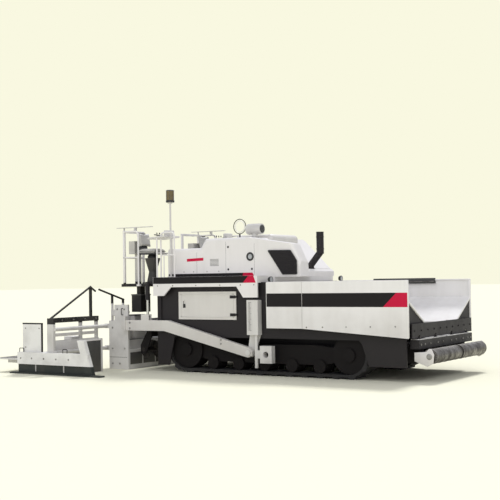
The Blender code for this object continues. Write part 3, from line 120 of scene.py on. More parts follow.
def set_stage():
    """A pale cream floor under an even sky of the same tone, with a key light and a soft fill."""
    deselect()
    bpy.ops.mesh.primitive_plane_add(size=400)
    floor = bpy.context.object
    floor.name = "floor"
    paper = bpy.data.materials.new("studio_floor_paper")
    paper.use_nodes = True
    shader = paper.node_tree.nodes["Principled BSDF"]
    shader.inputs["Base Color"].default_value = linear("#E6E4CF")
    shader.inputs["Roughness"].default_value = 1.0
    shader.inputs["Specular IOR Level"].default_value = 0.0
    floor.data.materials.append(paper)
    world = bpy.data.worlds.new("pale_studio")
    world.use_nodes = True
    bpy.context.scene.world = world
    tree = world.node_tree
    tree.nodes.clear()
    seen = add(tree, "Background", {"Color": linear("#F9F8E1"), "Strength": 1.0})
    light = add(tree, "Background", {"Color": linear("#EEF0FA"), "Strength": 0.67})
    path = add(tree, "LightPath")
    mix = add(tree, "MixShader", None, {0: (path, "Is Camera Ray"), 1: (light, 0), 2: (seen, 0)})
    add(tree, "OutputWorld", None, {"Surface": (mix, 0)})
    for name, energy, spread, turns in SUNS:
        sun = bpy.data.lights.new(name, "SUN")
        sun.energy = energy
        sun.angle = math.radians(spread)
        lamp = bpy.data.objects.new(name, sun)
        lamp.rotation_euler = [math.radians(degrees) for degrees in turns]
        bpy.context.scene.collection.objects.link(lamp)


# ---------------------------------------------------------------- modelling by operators
def deselect():
    if bpy.context.object and bpy.context.object.mode != "OBJECT":
        bpy.ops.object.mode_set(mode="OBJECT")
    bpy.ops.object.select_all(action="DESELECT")


def pick(piece):
    deselect()
    piece.select_set(True)
    bpy.context.view_layer.objects.active = piece


def settle():
    """The picked piece's place goes into its mesh."""
    bpy.ops.object.transform_apply(location=True, rotation=True, scale=True)


def edit(piece):
    pick(piece)
    bpy.ops.object.mode_set(mode="EDIT")
    bpy.ops.mesh.select_all(action="SELECT")


def leave(piece, name):
    """Back in object mode, with the piece's place in its mesh."""
    bpy.ops.object.mode_set(mode="OBJECT")
    settle()
    piece.name = name
    return piece


def block(name, x, y, z, edge=4 * MM, segments=2):
    """A plate or block between three (low, high) pairs, its edges rounded."""
    deselect()
    spans = [(min(pair), max(pair)) for pair in (x, y, z)]
    middle = [sum(pair) / 2 for pair in spans]
    size = [pair[1] - pair[0] for pair in spans]
    bpy.ops.mesh.primitive_cube_add(size=1, location=middle, scale=size)
    piece = bpy.context.object
    settle()
    edit(piece)
    bpy.ops.mesh.bevel(offset=min(edge, min(size) * 0.4), segments=segments, affect="EDGES")
    return leave(piece, name)


def chain(points):
    """An object of one open chain of edges, in edit mode, all selected."""
    deselect()
    bpy.ops.mesh.primitive_plane_add(size=0.02, location=points[0])
    piece = bpy.context.object
    settle()
    edit(piece)
    bpy.ops.mesh.merge(type="CENTER")
    for before, after in zip(points, points[1:]):
        step = Vector(after) - Vector(before)
        bpy.ops.mesh.extrude_region_move(TRANSFORM_OT_translate={"value": step})
    bpy.ops.mesh.select_all(action="SELECT")
    return piece


def sheet(name, points, axis, span, edge=2 * MM, segments=1):
    """A flat outline, its points in the other two coordinates, given its thickness along an axis."""
    order = "xyz".index(axis)
    start, thick = min(span), max(span) - min(span)
    placed = []
    for a, b in points:
        point = [a, b]
        point.insert(order, start)
        placed.append(point)
    piece = chain(placed)
    bpy.ops.mesh.edge_face_add()
    step = [0.0, 0.0, 0.0]
    step[order] = thick
    bpy.ops.mesh.extrude_region_move(TRANSFORM_OT_translate={"value": step})
    bpy.ops.mesh.select_all(action="SELECT")
    bpy.ops.mesh.normals_make_consistent(inside=False)
    if edge:
        bpy.ops.mesh.bevel(offset=min(edge, thick * 0.4), segments=segments, affect="EDGES")
    return leave(piece, name)


def turned(name, profile, centre, axis, steps=24):
    """A round piece: (radius, distance along the axis) points spun about the axis through the centre."""
    axis = Vector(axis).normalized()
    across = axis.orthogonal().normalized()
    centre = Vector(centre)
    piece = chain([centre + across * radius + axis * along for radius, along in profile])
    bpy.ops.mesh.spin(steps=steps, angle=math.tau, center=centre, axis=axis)
    bpy.ops.mesh.select_all(action="SELECT")
    bpy.ops.mesh.remove_doubles(threshold=0.05 * MM)
    bpy.ops.mesh.normals_make_consistent(inside=False)
    return leave(piece, name)


def tube(name, points, radius, bend=0.0, resolution=2, closed=False):
    """A bar bent through the points, with round corners and capped ends."""
    piece = chain(points)
    if closed:
        bpy.ops.mesh.edge_face_add()
        bpy.ops.mesh.delete(type="ONLY_FACE")
        bpy.ops.mesh.select_all(action="SELECT")
    if bend:
        bpy.ops.mesh.bevel(offset=bend, segments=5, affect="VERTICES")
    leave(piece, name)
    bpy.ops.object.convert(target="CURVE")
    piece = bpy.context.object
    piece.data.bevel_depth = radius
    piece.data.bevel_resolution = resolution
    piece.data.use_fill_caps = not closed
    bpy.ops.object.convert(target="MESH")
    return bpy.context.object


def join(name, pieces):
    deselect()
    for piece in pieces:
        piece.select_set(True)
    bpy.context.view_layer.objects.active = pieces[0]
    if len(pieces) > 1:
        bpy.ops.object.join()
    pieces[0].name = name
    return pieces[0]


def repeated(name, piece, moves):
    """The piece at each of the moves, as one joined piece."""
    copies = []
    for move in moves:
        copy = piece.copy()
        copy.data = piece.data.copy()
        shift = move if isinstance(move, Matrix) else Matrix.Translation(move)
        copy.data.transform(shift)
        if shift.determinant() < 0:
            copy.data.flip_normals()
        bpy.context.scene.collection.objects.link(copy)
        copies.append(copy)
    bpy.data.objects.remove(piece)
    return join(name, copies)


MIRROR = Matrix.Scale(-1, 4, (0, 1, 0))


def both(piece, name):
    """The right-hand piece and its mirror image on the left."""
    copy = piece.copy()
    copy.data = piece.data.copy()
    copy.data.transform(MIRROR)
    copy.data.flip_normals()
    bpy.context.scene.collection.objects.link(copy)
    piece.name, copy.name = name + "_right", name + "_left"
    return piece, copy


def fit(piece, look, body, angle=35):
    """Gives a finished piece its material, its shading and the body that it rides on."""
    pick(piece)
    bpy.ops.object.shade_smooth_by_angle(angle=math.radians(angle))
    piece.data.materials.clear()
    piece.data.materials.append(LOOKS[look])
    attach(piece, body)
    return piece


def fit_both(piece, name, look, body):
    """Fits a right-hand piece and its mirror image. The body's name gets the side, unless it is the tractor's."""
    for copy, side in zip(both(piece, name), ("right", "left")):
        fit(copy, look, body if body in frame["bodies"] else body + "_" + side)


def fit_group(name, pieces, look, body):
    """Fits right-hand pieces, joined to one, and their mirror image."""
    fit_both(join(name, pieces), name, look, body)


# ---------------------------------------------------------------- finishes
def new_look(name):
    made = bpy.data.materials.new(name)
    made.use_nodes = True
    tree = made.node_tree
    tree.nodes.clear()
    output = add(tree, "OutputMaterial")
    return made, tree, output, {0: (add(tree, "TexCoord"), "Object")}


def sprayed_paint(name, clean, tired, gloss, dust, dust_top=1.2, shine=0.5, coat=0.25):
    """Two-pack enamel sprayed on sheet steel: glossy and slightly uneven, dull and dusty low down, with fine
    scuffs. Orange peel is 2 mm on the real panels and drawn at 45 mm, where it still bends a reflection."""
    made, tree, output, here = new_look(name)
    patch = add(tree, "TexNoise", {"Scale": 1 / 0.60, "Detail": 5.0, "Roughness": 0.6}, here)
    streak = add(tree, "Mapping", {"Scale": (1 / 0.16, 1 / 0.16, 1 / 1.30)}, here)
    run = add(tree, "TexNoise", {"Scale": 1.0, "Detail": 3.0}, {0: (streak, 0)})
    grime = add(tree, "Math", {"operation": "MULTIPLY"}, {0: (patch, 0), 1: (run, 0)})
    level = add(tree, "MapRange", {"From Min": 0.16, "From Max": 0.46, "To Max": 0.45}, {0: (grime, 0)})
    split = add(tree, "SeparateXYZ", None, here)
    low = add(tree, "MapRange", {"From Min": dust_top, "From Max": 0.05, "To Max": 0.8}, {0: (split, "Z")})
    reach = add(tree, "Math", {"operation": "MULTIPLY"}, {0: (low, 0), 1: (patch, 0)})
    colour = add(tree, "Mix", {"data_type": "RGBA", 6: linear(clean), 7: linear(tired)}, {0: (level, 0)})
    dusty = add(tree, "Mix", {"data_type": "RGBA", 7: linear(dust)}, {0: (reach, 0), 6: (colour, 2)})
    rough = add(tree, "MapRange", {"To Min": gloss, "To Max": gloss + 0.28}, {0: (level, 0)})
    peel = add(tree, "TexNoise", {"Scale": 1 / 0.045, "Detail": 2.0}, here)
    bump = add(tree, "Bump", {"Strength": 0.10, "Distance": 2 * MM}, {"Height": (peel, 0)})
    shader = add(
        tree, "BsdfPrincipled", {"Specular IOR Level": shine, "Coat Weight": coat, "Coat Roughness": 0.12},
        {"Base Color": (dusty, 2), "Roughness": (rough, 0), "Normal": (bump, 0)},
    )
    tree.links.new(shader.outputs[0], output.inputs[0])
    return made


def worn_steel(name, bright, dark, rough, grain):
    """Bare rolled steel that asphalt has scoured: scratches along the travel, dull brown-black residue between."""
    made, tree, output, here = new_look(name)
    stretch = add(tree, "Mapping", {"Scale": (1 / 0.35, 1 / grain, 1 / grain)}, here)
    scratch = add(tree, "TexNoise", {"Scale": 1.0, "Detail": 6.0, "Roughness": 0.7}, {0: (stretch, 0)})
    stain = add(tree, "TexNoise", {"Scale": 1 / 0.16, "Detail": 4.0}, here)
    share = add(tree, "Math", {"operation": "MULTIPLY"}, {0: (scratch, 0), 1: (stain, 0)})
    level = add(tree, "MapRange", {"From Min": 0.14, "From Max": 0.38}, {0: (share, 0)})
    colour = add(tree, "Mix", {"data_type": "RGBA", 6: linear(dark), 7: linear(bright)}, {0: (level, 0)})
    dull = add(tree, "MapRange", {"To Min": rough + 0.3, "To Max": rough}, {0: (level, 0)})
    bump = add(tree, "Bump", {"Strength": 0.25, "Distance": 1.5 * MM}, {"Height": (scratch, 0)})
    shader = add(
        tree, "BsdfPrincipled", {"Metallic": 0.75},
        {"Base Color": (colour, 2), "Roughness": (dull, 0), "Normal": (bump, 0)},
    )
    tree.links.new(shader.outputs[0], output.inputs[0])
    return made


def moulded(name, colour_code, worn_code, rough, grain, depth=0.5 * MM, coat=0.0):
    """A moulded or rolled soft surface, such as rubber or vinyl: an even colour with a pebbled grain, rubbed
    paler on its high spots."""
    made, tree, output, here = new_look(name)
    pebble = add(tree, "TexVoronoi", {"Scale": 1 / grain, "feature": "SMOOTH_F1"}, here)
    cloud = add(tree, "TexNoise", {"Scale": 1 / 0.22, "Detail": 5.0}, here)
    level = add(tree, "MapRange", {"From Min": 0.42, "From Max": 0.72}, {0: (cloud, 0)})
    colour = add(tree, "Mix", {"data_type": "RGBA", 6: linear(colour_code), 7: linear(worn_code)}, {0: (level, 0)})
    dull = add(tree, "MapRange", {"To Min": rough, "To Max": min(1.0, rough + 0.2)}, {0: (level, 0)})
    bump = add(tree, "Bump", {"Strength": 0.5, "Distance": depth}, {"Height": (pebble, 0)})
    shader = add(
        tree, "BsdfPrincipled", {"IOR": 1.52, "Coat Weight": coat, "Coat Roughness": 0.3},
        {"Base Color": (colour, 2), "Roughness": (dull, 0), "Normal": (bump, 0)},
    )
    tree.links.new(shader.outputs[0], output.inputs[0])
    return made


def chromed(name):
    """Hard chrome on a ground cylinder rod: bright and mirror-like, with a thin film of oil in patches."""
    made, tree, output, here = new_look(name)
    oil = add(tree, "TexNoise", {"Scale": 1 / 0.08, "Detail": 3.0}, here)
    rough = add(tree, "MapRange", {"To Min": 0.08, "To Max": 0.24}, {0: (oil, 0)})
    colour = add(tree, "Mix", {"data_type": "RGBA", 6: linear("#D9DBDD"), 7: linear("#B9B7B1")}, {0: (oil, 0)})
    shader = add(
        tree, "BsdfPrincipled", {"Metallic": 1.0}, {"Base Color": (colour, 2), "Roughness": (rough, 0)},
    )
    tree.links.new(shader.outputs[0], output.inputs[0])
    return made


def lens(name, colour_code, deep_code):
    """Tinted polycarbonate: clear, glossy and saturated, with faint moulded rings 12 mm apart."""
    made, tree, output, here = new_look(name)
    rings = add(
        tree, "TexWave",
        {"wave_type": "BANDS", "bands_direction": "Z", "Scale": 1 / 0.012 / 6.28, "Distortion": 0.2},
        here,
    )
    colour = add(
        tree, "Mix", {"data_type": "RGBA", 6: linear(deep_code), 7: linear(colour_code)}, {0: (rings, 1)},
    )
    bump = add(tree, "Bump", {"Strength": 0.3, "Distance": 1 * MM}, {"Height": (rings, 1)})
    shader = add(
        tree, "BsdfPrincipled", {"Roughness": 0.12, "IOR": 1.58, "Transmission Weight": 0.25, "Coat Weight": 0.5},
        {"Base Color": (colour, 2), "Normal": (bump, 0)},
    )
    tree.links.new(shader.outputs[0], output.inputs[0])
    return made


def masked(name, low_code, high_code, height, rough, behind=None, behind_code=None):
    """Enamel sprayed in two colours with a masked edge at one height, and a third colour behind one station."""
    made, tree, output, here = new_look(name)
    split = add(tree, "SeparateXYZ", None, here)
    patch = add(tree, "TexNoise", {"Scale": 1 / 0.40, "Detail": 5.0}, here)
    above = add(tree, "Math", {"operation": "GREATER_THAN", 1: height}, {0: (split, "Z")})
    colour = add(tree, "Mix", {"data_type": "RGBA", 6: linear(low_code), 7: linear(high_code)}, {0: (above, 0)})
    if behind is not None:
        past = add(tree, "Math", {"operation": "LESS_THAN", 1: behind}, {0: (split, "X")})
        inside = add(tree, "Math", {"operation": "MULTIPLY"}, {0: (above, 0), 1: (past, 0)})
        colour = add(tree, "Mix", {"data_type": "RGBA", 7: linear(behind_code)}, {0: (inside, 0), 6: (colour, 2)})
    grime = add(tree, "MapRange", {"From Min": 0.45, "From Max": 0.75, "To Max": 0.3}, {0: (patch, 0)})
    dusty = add(tree, "Mix", {"data_type": "RGBA", 7: linear("#6E675D")}, {0: (grime, 0), 6: (colour, 2)})
    dull = add(tree, "MapRange", {"To Min": rough, "To Max": rough + 0.25}, {0: (patch, 0)})
    bump = add(tree, "Bump", {"Strength": 0.15, "Distance": 1 * MM}, {"Height": (patch, 0)})
    shader = add(
        tree, "BsdfPrincipled", {"Specular IOR Level": 0.35},
        {"Base Color": (dusty, 2), "Roughness": (dull, 0), "Normal": (bump, 0)},
    )
    tree.links.new(shader.outputs[0], output.inputs[0])
    return made


LOOKS = {
    "white": sprayed_paint("white_machine_enamel", "#E9E6E4", "#D8D5D1", 0.28, "#A9A296"),
    "hopper": sprayed_paint("hopper_enamel_scuffed", "#ECEAE8", "#D6D3CF", 0.38, "#9B958B", 1.6),
    "door": sprayed_paint("door_enamel_grey_white", "#D9D6D1", "#C5C1BB", 0.36, "#99948B"),
    "grey": sprayed_paint("screed_enamel_light_grey", "#D6D4D0", "#B4B1AB", 0.42, "#7C7872", 0.5),
    "dark_grey": sprayed_paint("machinery_enamel_dark_grey", "#4A4A49", "#383736", 0.45, "#5A564F", 0.9, 0.3, 0.0),
    "black": sprayed_paint("black_chassis_enamel", "#262325", "#2E2B2C", 0.45, "#302D2A", 0.9, 0.25, 0.0),
    # near-black for the undercarriage, the auger frame and the exhaust's sooty mouth; on the undercarriage and
    # auger frame the extra darkness is also painted shade of the space under the machine
    "soot_and_shade": sprayed_paint("oily_undercarriage_enamel_with_painted_shade", "#1C1A1A", "#232020", 0.62, "#1E1B19", 0.9, 0.12, 0.0),
    "film_black": sprayed_paint("black_vinyl_stripe", "#1A1718", "#1F1C1D", 0.40, "#242121", 0.9, 0.2, 0.0),
    "film_red": sprayed_paint("crimson_vinyl_stripe", "#C8103E", "#B50F37", 0.40, "#8F1A35", 0.9, 0.2, 0.0),
    "deck": masked("deck_enamel_black_and_grey", "#161515", "#3B3A39", 1.90, 0.45, back(6.35), "#C9C7C2"),
    "extension": masked("extension_enamel", "#CFCDC9", "#2A2928", 1.035, 0.42),
    "screed": masked("screed_frame_enamel", "#D6D4D0", "#2A2928", 1.425, 0.42),
    "gate": masked("end_gate_enamel", "#2E3330", "#E4E3E0", 0.198, 0.35),
    "steel": worn_steel("scoured_rolled_steel", "#8E8B86", "#3A3632", 0.34, 0.006),
    "auger": worn_steel("asphalt_blackened_steel", "#4F4B47", "#1E1B1A", 0.45, 0.010),
    "bolt": worn_steel("zinc_plated_steel", "#B9B8B4", "#77736D", 0.30, 0.004),
    "chrome": chromed("hard_chrome"),
    "rubber": moulded("vulcanised_track_rubber", "#1B1A1A", "#2E2C2A", 0.72, 0.012),
    "vinyl": moulded("seat_vinyl_light_grey", "#B4B2AD", "#C9C7C2", 0.48, 0.005, 0.3 * MM, 0.1),
    "plastic": moulded("moulded_black_plastic", "#222223", "#303031", 0.42, 0.004, 0.2 * MM),
    "amber": lens("amber_polycarbonate", "#8F7A44", "#4A3E20"),
    "lamp": lens("clear_lamp_polycarbonate", "#D9DCDD", "#A8ACAE"),
    "red_lens": lens("red_lamp_polycarbonate", "#B01424", "#5A0810"),
}
SLOTS = dict.fromkeys(LOOKS, "painted_white")
SLOTS.update(dict.fromkeys(("grey", "dark_grey", "door", "extension", "screed"), "painted_grey"))
SLOTS.update(dict.fromkeys(("black", "soot_and_shade", "deck", "film_black", "plastic"), "painted_black"))
SLOTS.update(dict.fromkeys(("steel", "auger", "bolt", "chrome"), "bare_steel"))
SLOTS["rubber"] = "track_rubber"
SLOTS.update({"vinyl": "seat_vinyl", "amber": "amber_lens", "red_lens": "amber_lens"})

NODE_LOOKS = {
    "white": ("engine_hood", "side_skirt_right", "side_skirt_left"),
    "hopper": ("hopper_wing_right", "hopper_wing_left", "hopper_rear"),
    "door": ("service_door_right", "service_door_left", "tow_arm_right", "tow_arm_left"),
    "screed": ("screed_frame",),
    "extension": ("screed_extension_right", "screed_extension_left"),
    "grey": ("air_precleaner", "beacon_mast", "tow_point_right", "tow_point_left"),
    "black": (
        "main_frame", "fender_right", "fender_left", "side_grille", "engine_block", "hopper_apron",
        "lift_cylinder_right", "lift_cylinder_left", "exhaust_stack",
    ),
    # the undercarriage and auger frame take the near-black that also paints the shade under the machine
    "soot_and_shade": ("undercarriage_right", "undercarriage_left", "auger_frame"),
    "deck": ("operator_platform",),
    "gate": ("end_gate_right", "end_gate_left"),
    "steel": ("push_roller_right", "push_roller_left", "roller_yoke", "conveyor_trough"),
    "auger": ("auger_right", "auger_left"),
    "chrome": ("lift_rod_right", "lift_rod_left"),
    "rubber": ("track_belt_right", "track_belt_left"),
    "vinyl": ("seat_right", "seat_left"),
    "amber": ("beacon",),
}


def finish_nodes():
    for look, names in NODE_LOOKS.items():
        for name in names:
            slots = NODES[name].data.materials
            slots.clear()
            slots.append(LOOKS[look])


# ---------------------------------------------------------------- stripes
# heights at the rear foot, front foot, front top and rear top of each stripe
STRIPE_Z = (1.367, 1.367, 1.627, 1.627)
BAND_Z = (1.842, 1.842, 1.979, 1.979)
FOOT_Z = (1.983, 1.983, 2.045, 2.045)       # the same stripe carried on up the foot of the hood
DASH_Z = (2.300, 2.315, 2.375, 2.360)
TIP_LOW, TIP_HIGH = 0.49, 0.22              # length of the hopper stripe's red end, along its foot and top


def make_stripes():
    """Stripe film on the walls and the hood, each on the right with its mirror image."""
    joint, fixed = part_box("hopper_wing_right")[0].x + 2 * MM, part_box("hopper_rear")[1].x - 1 * MM
    tail, rear = back(2.99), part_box("side_skirt_right")[0].x + 5 * MM
    foot, top, tip = back(TIP_LOW), back(TIP_HIGH), FRONT - 4 * MM
    for name, x, z, look, body, reach in (
        ("hopper_stripe_rear", (tail, fixed, fixed, tail), STRIPE_Z, "film_black", "tractor", WALL_Y),
        ("hopper_stripe", (joint, foot, top, joint), STRIPE_Z, "film_black", "wing", WALL_Y),
        ("hopper_stripe_tip", (foot, tip, tip, top), STRIPE_Z, "film_red", "wing", WALL_Y),
        ("hood_band", (rear, back(3.54), back(3.41), rear), BAND_Z, "film_black", "tractor", WALL_Y),
        ("hood_band_tip", map(back, (3.54, 3.235, 3.29, 3.41)), BAND_Z, "film_red", "tractor", WALL_Y),
        ("hood_foot_band", map(back, (5.71, 3.81, 3.79, 5.71)), FOOT_Z, "film_black", "tractor", HOOD_Y),
        ("hood_foot_tip", map(back, (3.81, 3.53, 3.57, 3.79)), FOOT_Z, "film_red", "tractor", HOOD_Y),
        ("hood_dash", map(back, (5.22, 4.79, 4.79, 5.22)), DASH_Z, "film_red", "tractor", HOOD_Y),
    ):
        stripe = sheet(name, list(zip(x, z)), "y", (-reach - 0.2 * MM, -reach - FILM), edge=0)
        fit_both(stripe, name, look, body)


# ---------------------------------------------------------------- hopper
def bolt(name, centre, axis, radius=0.014):
    """A hexagon-headed bolt on its washer, standing on the centre point."""
    washer = turned("washer", [(0, 0), (radius * 1.5, 0), (radius * 1.5, radius * 0.3), (0, radius * 0.3)],
                    centre, axis, 14)
    head = turned(name, [(0, radius * 0.3), (radius, radius * 0.3), (radius, radius * 0.85),
                         (radius * 0.8, radius), (0, radius)], centre, axis, 6)
    return join(name, [washer, head])


def bolt_row(name, places, axis, body, radius=0.014, look="bolt"):
    first = Vector(places[0])
    row = repeated(name, bolt("bolt", first, axis, radius), [Vector(place) - first for place in places])
    fit_both(row, name, look, body)


def make_hopper_trim():
    rim = 0.022
    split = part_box("hopper_wing_right")[0].x
    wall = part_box("hopper_rear")
    # folded lip along the top of each wall
    for name, body, rear, front in (
        ("hopper_wing_rim", "wing", split + 4 * MM, FRONT - 2 * MM),
        ("hopper_rear_rim", "tractor", wall[0].x + 0.02, wall[1].x - 2 * MM),
    ):
        lip = block(name, (rear, front), (-WALL_Y + 2 * MM, -WALL_Y + 0.055),
                    (HOPPER_TOP - rim, HOPPER_TOP + 4 * MM), 6 * MM, 3)
        fit_both(lip, name, "hopper", body)
    # black corner plates below the sloping floors
    half = [(-0.70, 1.00), (-1.535, 1.485), (-1.535, 0.82), (-1.43, 0.82), (-0.78, 0.945)]
    plate = sheet("hopper_corner_plate", half, "x", (FRONT - 0.0295, FRONT - 0.024), 1 * MM)
    fit_both(plate, "hopper_corner_plate", "black", "wing")
    edge = sheet("hopper_front_edge", [(-0.68, 1.004), (-1.545, 1.510), (-1.545, 1.484), (-0.69, 0.984)],
                 "x", (FRONT - 0.030, FRONT - 1 * MM), 2 * MM)
    fit_both(edge, "hopper_front_edge", "hopper", "wing")
    post = block("hopper_front_post", (FRONT - 0.045, FRONT + 3 * MM), (-WALL_Y - 1 * MM, -WALL_Y + 0.050),
                 (0.81, HOPPER_TOP - 2 * MM), 5 * MM, 3)
    fit_both(post, "hopper_front_post", "hopper", "wing")
    # stiffening channels behind and below each wall
    channels = []
    for station in (0.55, 1.10, 1.65):
        x = back(station)
        channels.append(sheet("channel", [(-0.86, 1.065), (-1.519, 1.450), (-1.519, 1.05), (-1.40, 1.02)],
                              "x", (x - 0.012, x + 0.012), 2 * MM))
    fit_group("hopper_wing_ribs", channels, "black", "wing")
    # dark plate along the top of the far wall's inner face, painted shade of that face, with a thin steel strip on
    # it
    guard = block("far_wall_shade_plate", (back(2.17), back(0.75)), (1.475, 1.519), (1.765, 1.880), 8 * MM, 3)
    fit(guard, "dark_grey", "wing_left")
    strip = block("far_wall_shade_plate_lip", (back(2.15), back(0.77)), (1.470, 1.476), (1.800, 1.815), 2 * MM)
    fit(strip, "steel", "wing_left")
    # tilt cylinders of the wings, behind the rear ribs
    for word, side in SIDES:
        low, high = Vector((back(2.32), side * 0.86, 0.98)), Vector((back(2.32), side * 1.30, 1.24))
        barrel = tube("wing_cylinder_" + word, [low, low.lerp(high, 0.62)], 0.034, resolution=4)
        fit(barrel, "black", "tractor")
        rod = tube("wing_cylinder_rod_" + word, [low.lerp(high, 0.60), high], 0.018, resolution=4)
        fit(rod, "chrome", "tractor")
    places = [(back(station), -WALL_Y, 1.02 - station * 0.02) for station in (0.25, 0.75, 1.25, 1.75, 2.10)]
    bolt_row("hopper_wing_bolts", places, (0, -1, 0), "wing", 0.010)
    bolt_row("apron_bolts", [(FRONT + 0.036, y, 0.93) for y in (-0.15, -0.45, -0.75, -1.05, -1.35)],
             (1, 0, 0), "apron", 0.012, "black")


def make_conveyor_details():
    """Slat bars and chains over the trough's floor."""
    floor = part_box("conveyor_trough")
    z = 0.600
    rear, front = floor[0].x + 0.10, floor[1].x - 0.10
    count = 30
    pitch = (front - rear) / count
    slat = block("slat", (rear, rear + 0.035), (-0.555, 0.555), (z + 1 * MM, z + 0.020), 3 * MM)
    slats = repeated("conveyor_slats", slat, [Vector((pitch * index, 0, 0)) for index in range(count)])
    fit(slats, "auger", "tractor")
    link = block("link", (rear, rear + 0.055), (-0.030, 0.030), (z + 0.012, z + 0.034), 5 * MM)
    moves = [Vector((0.075 * index, y, 0)) for y in (-0.30, 0.30) for index in range(int((front - rear) / 0.075))]
    fit(repeated("conveyor_chains", link, moves), "auger", "tractor")


def make_rollers_trim():
    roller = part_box("push_roller_right")
    x, z = (roller[0].x + roller[1].x) / 2, (roller[0].z + roller[1].z) / 2
    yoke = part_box("roller_yoke")
    # white bracket at the outer end of each roller
    y = yoke[0].y - 6 * MM
    outline = [(yoke[0].x + 0.02, z - 0.09), (x - 0.04, z - 0.18), (x + 0.07, z - 0.12), (x + 0.09, z + 0.04),
               (x + 0.04, z + 0.14), (x - 0.01, z + 0.14), (x - 0.06, z + 0.085), (yoke[0].x + 0.02, z + 0.07)]
    fit_both(sheet("roller_bracket", outline, "y", (y, y + 0.018), 4 * MM, 2), "roller_bracket", "white", "yoke")
    cap = turned("roller_hub", [(0, 0), (0.055, 0), (0.055, 0.006), (0.040, 0.010), (0.038, 0.020), (0, 0.022)],
                 (x, yoke[0].y - 6 * MM, z), (0, -1, 0), 20)
    fit_both(cap, "roller_hub", "bolt", "yoke")
    # wear rings on each drum
    ring = turned("ring", [(0.134, -0.012), (0.1385, -0.008), (0.1385, 0.008), (0.134, 0.012)],
                  (x, -1.15, z), (0, 1, 0), 32)
    rings = repeated("roller_rings", ring, [Vector((0, 0.255 * index, 0)) for index in range(5)])
    fit_both(rings, "roller_rings", "steel", "roller")
    # tread strip and bolts of the push beam
    tread = block("push_beam_tread", (FRONT - 0.07, FRONT + 0.094), (-1.28, -0.05), (0.7655, 0.776), 2 * MM)
    fit_both(tread, "push_beam_tread", "grey", "tractor")
    bolt_row("push_beam_bolts", [(FRONT + 0.100, y, 0.68) for y in (-0.20, -0.45, -0.80, -1.05, -1.22)],
             (1, 0, 0), "tractor", 0.013)


# ---------------------------------------------------------------- hood and its fittings
SEAM_FOOT = 2.000
VENT_PITCH = 0.026
PORT_STATION, PORT_Z = 3.62, 2.37
LOUVRE_PITCH, LOUVRE_DEPTH = 0.040, 0.013
HOOP_Z = 3.030
STACK_STATION, STACK_FOOT_STATION = 2.36, 2.60


def plate(name, x, z, look, body, reach, thick=1.5 * MM, edge=0.5 * MM):
    """A thin plate on a wall this far from the middle, on the right, and its mirror image."""
    fit_both(block(name, x, (-reach - GAP, -reach - thick), z, edge), name, look, body)


def ring(name, centre, axis, inner, outer, width, steps=28):
    """A round band with chamfered outer edges."""
    half, lip = width / 2, min(width, outer - inner) * 0.3
    return turned(name, [(inner, -half), (outer - lip, -half), (outer, -half + lip), (outer, half - lip),
                         (outer - lip, half), (inner, half), (inner, -half)], centre, axis, steps)


def make_hood_trim():
    for index, (station, high) in enumerate(((4.96, 2.490), (4.22, 2.690), (3.52, 2.640))):
        plate("hood_seam_%d" % index, (back(station) - 2 * MM, back(station) + 2 * MM), (SEAM_FOOT, high),
              "dark_grey", "tractor", HOOD_Y, 0.8 * MM, 0)
    # vent slots of the engine bay, drawn as dark plates on the hood: painted shade of the openings
    slot = block("slot", (back(4.62), back(4.40)), (-HOOD_Y - GAP, -HOOD_Y - 2 * MM), (2.200, 2.209), 1 * MM)
    vents = repeated("hood_vents", slot, [Vector((0, 0, VENT_PITCH * step)) for step in range(6)])
    fit_both(vents, "hood_vents", "dark_grey", "tractor")
    # round port with a dark ring
    port = (back(PORT_STATION), -HOOD_Y, PORT_Z)
    rim = turned("port_ring", [(0.050, 0.4 * MM), (0.088, 0.4 * MM), (0.088, 0.010), (0.076, 0.018), (0.056, 0.014),
                               (0.050, 0.4 * MM)], port, (0, -1, 0), 36)
    fit(rim, "plastic", "tractor")
    glass = turned("port_glass", [(0, GAP), (0.050, GAP), (0.050, 0.007), (0, 0.009)], port, (0, -1, 0), 36)
    fit(glass, "lamp", "tractor")
    knob = [(0, GAP), (0.022, GAP), (0.022, 0.005), (0.014, 0.009), (0, 0.009)]
    latches = [turned("latch", knob, (back(station), -HOOD_Y, z), (0, -1, 0), 18)
               for station, z in ((4.16, 2.12), (4.16, 2.58), (3.58, 2.12))]
    fit_group("hood_latches", latches, "plastic", "tractor")
    # cowl over the cooling air inlet, on the crest of the roof
    cowl = block("hood_cowl", (back(4.55), back(3.60)), (-0.34, 0.78), (2.62, 2.852), 0.09, 6)
    fit(cowl, "door", "tractor")
    # louvres of the side grille, and their frame
    outline = [(3.18, 2.48), (2.66, 2.47), (2.52, 2.27), (2.52, 2.00), (2.84, 2.00)]
    reach = abs(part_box("side_grille")[0].y)
    slats = []
    for step in range(11):
        z = 2.030 + LOUVRE_PITCH * step
        rear = back(2.84 + (z - 2.00) * 0.34 / 0.48) + 0.025
        front = back(2.52 + max(0.0, z - 2.27) * 0.14 / 0.20) - 0.020
        slat = [(-reach - GAP, z), (-reach - GAP, z + 0.022),
                (-reach - LOUVRE_DEPTH, z + 0.004), (-reach - LOUVRE_DEPTH, z)]
        slats.append(sheet("slat", slat, "x", (rear, front), 1 * MM))
    fit(join("grille_louvres", slats), "black", "tractor")
    edge = [(back(station), -reach - 4 * MM, z) for station, z in outline]
    fit(tube("grille_frame", edge, 0.009, 0.02, 1, True), "plastic", "tractor")
    # bolts along the foot of the hood
    places = [(back(station), -HOOD_Y, 2.085) for station in (5.55, 5.30, 5.05, 4.70, 4.40)]
    bolt_row("hood_bolts", places, (0, -1, 0), "tractor", 0.008)


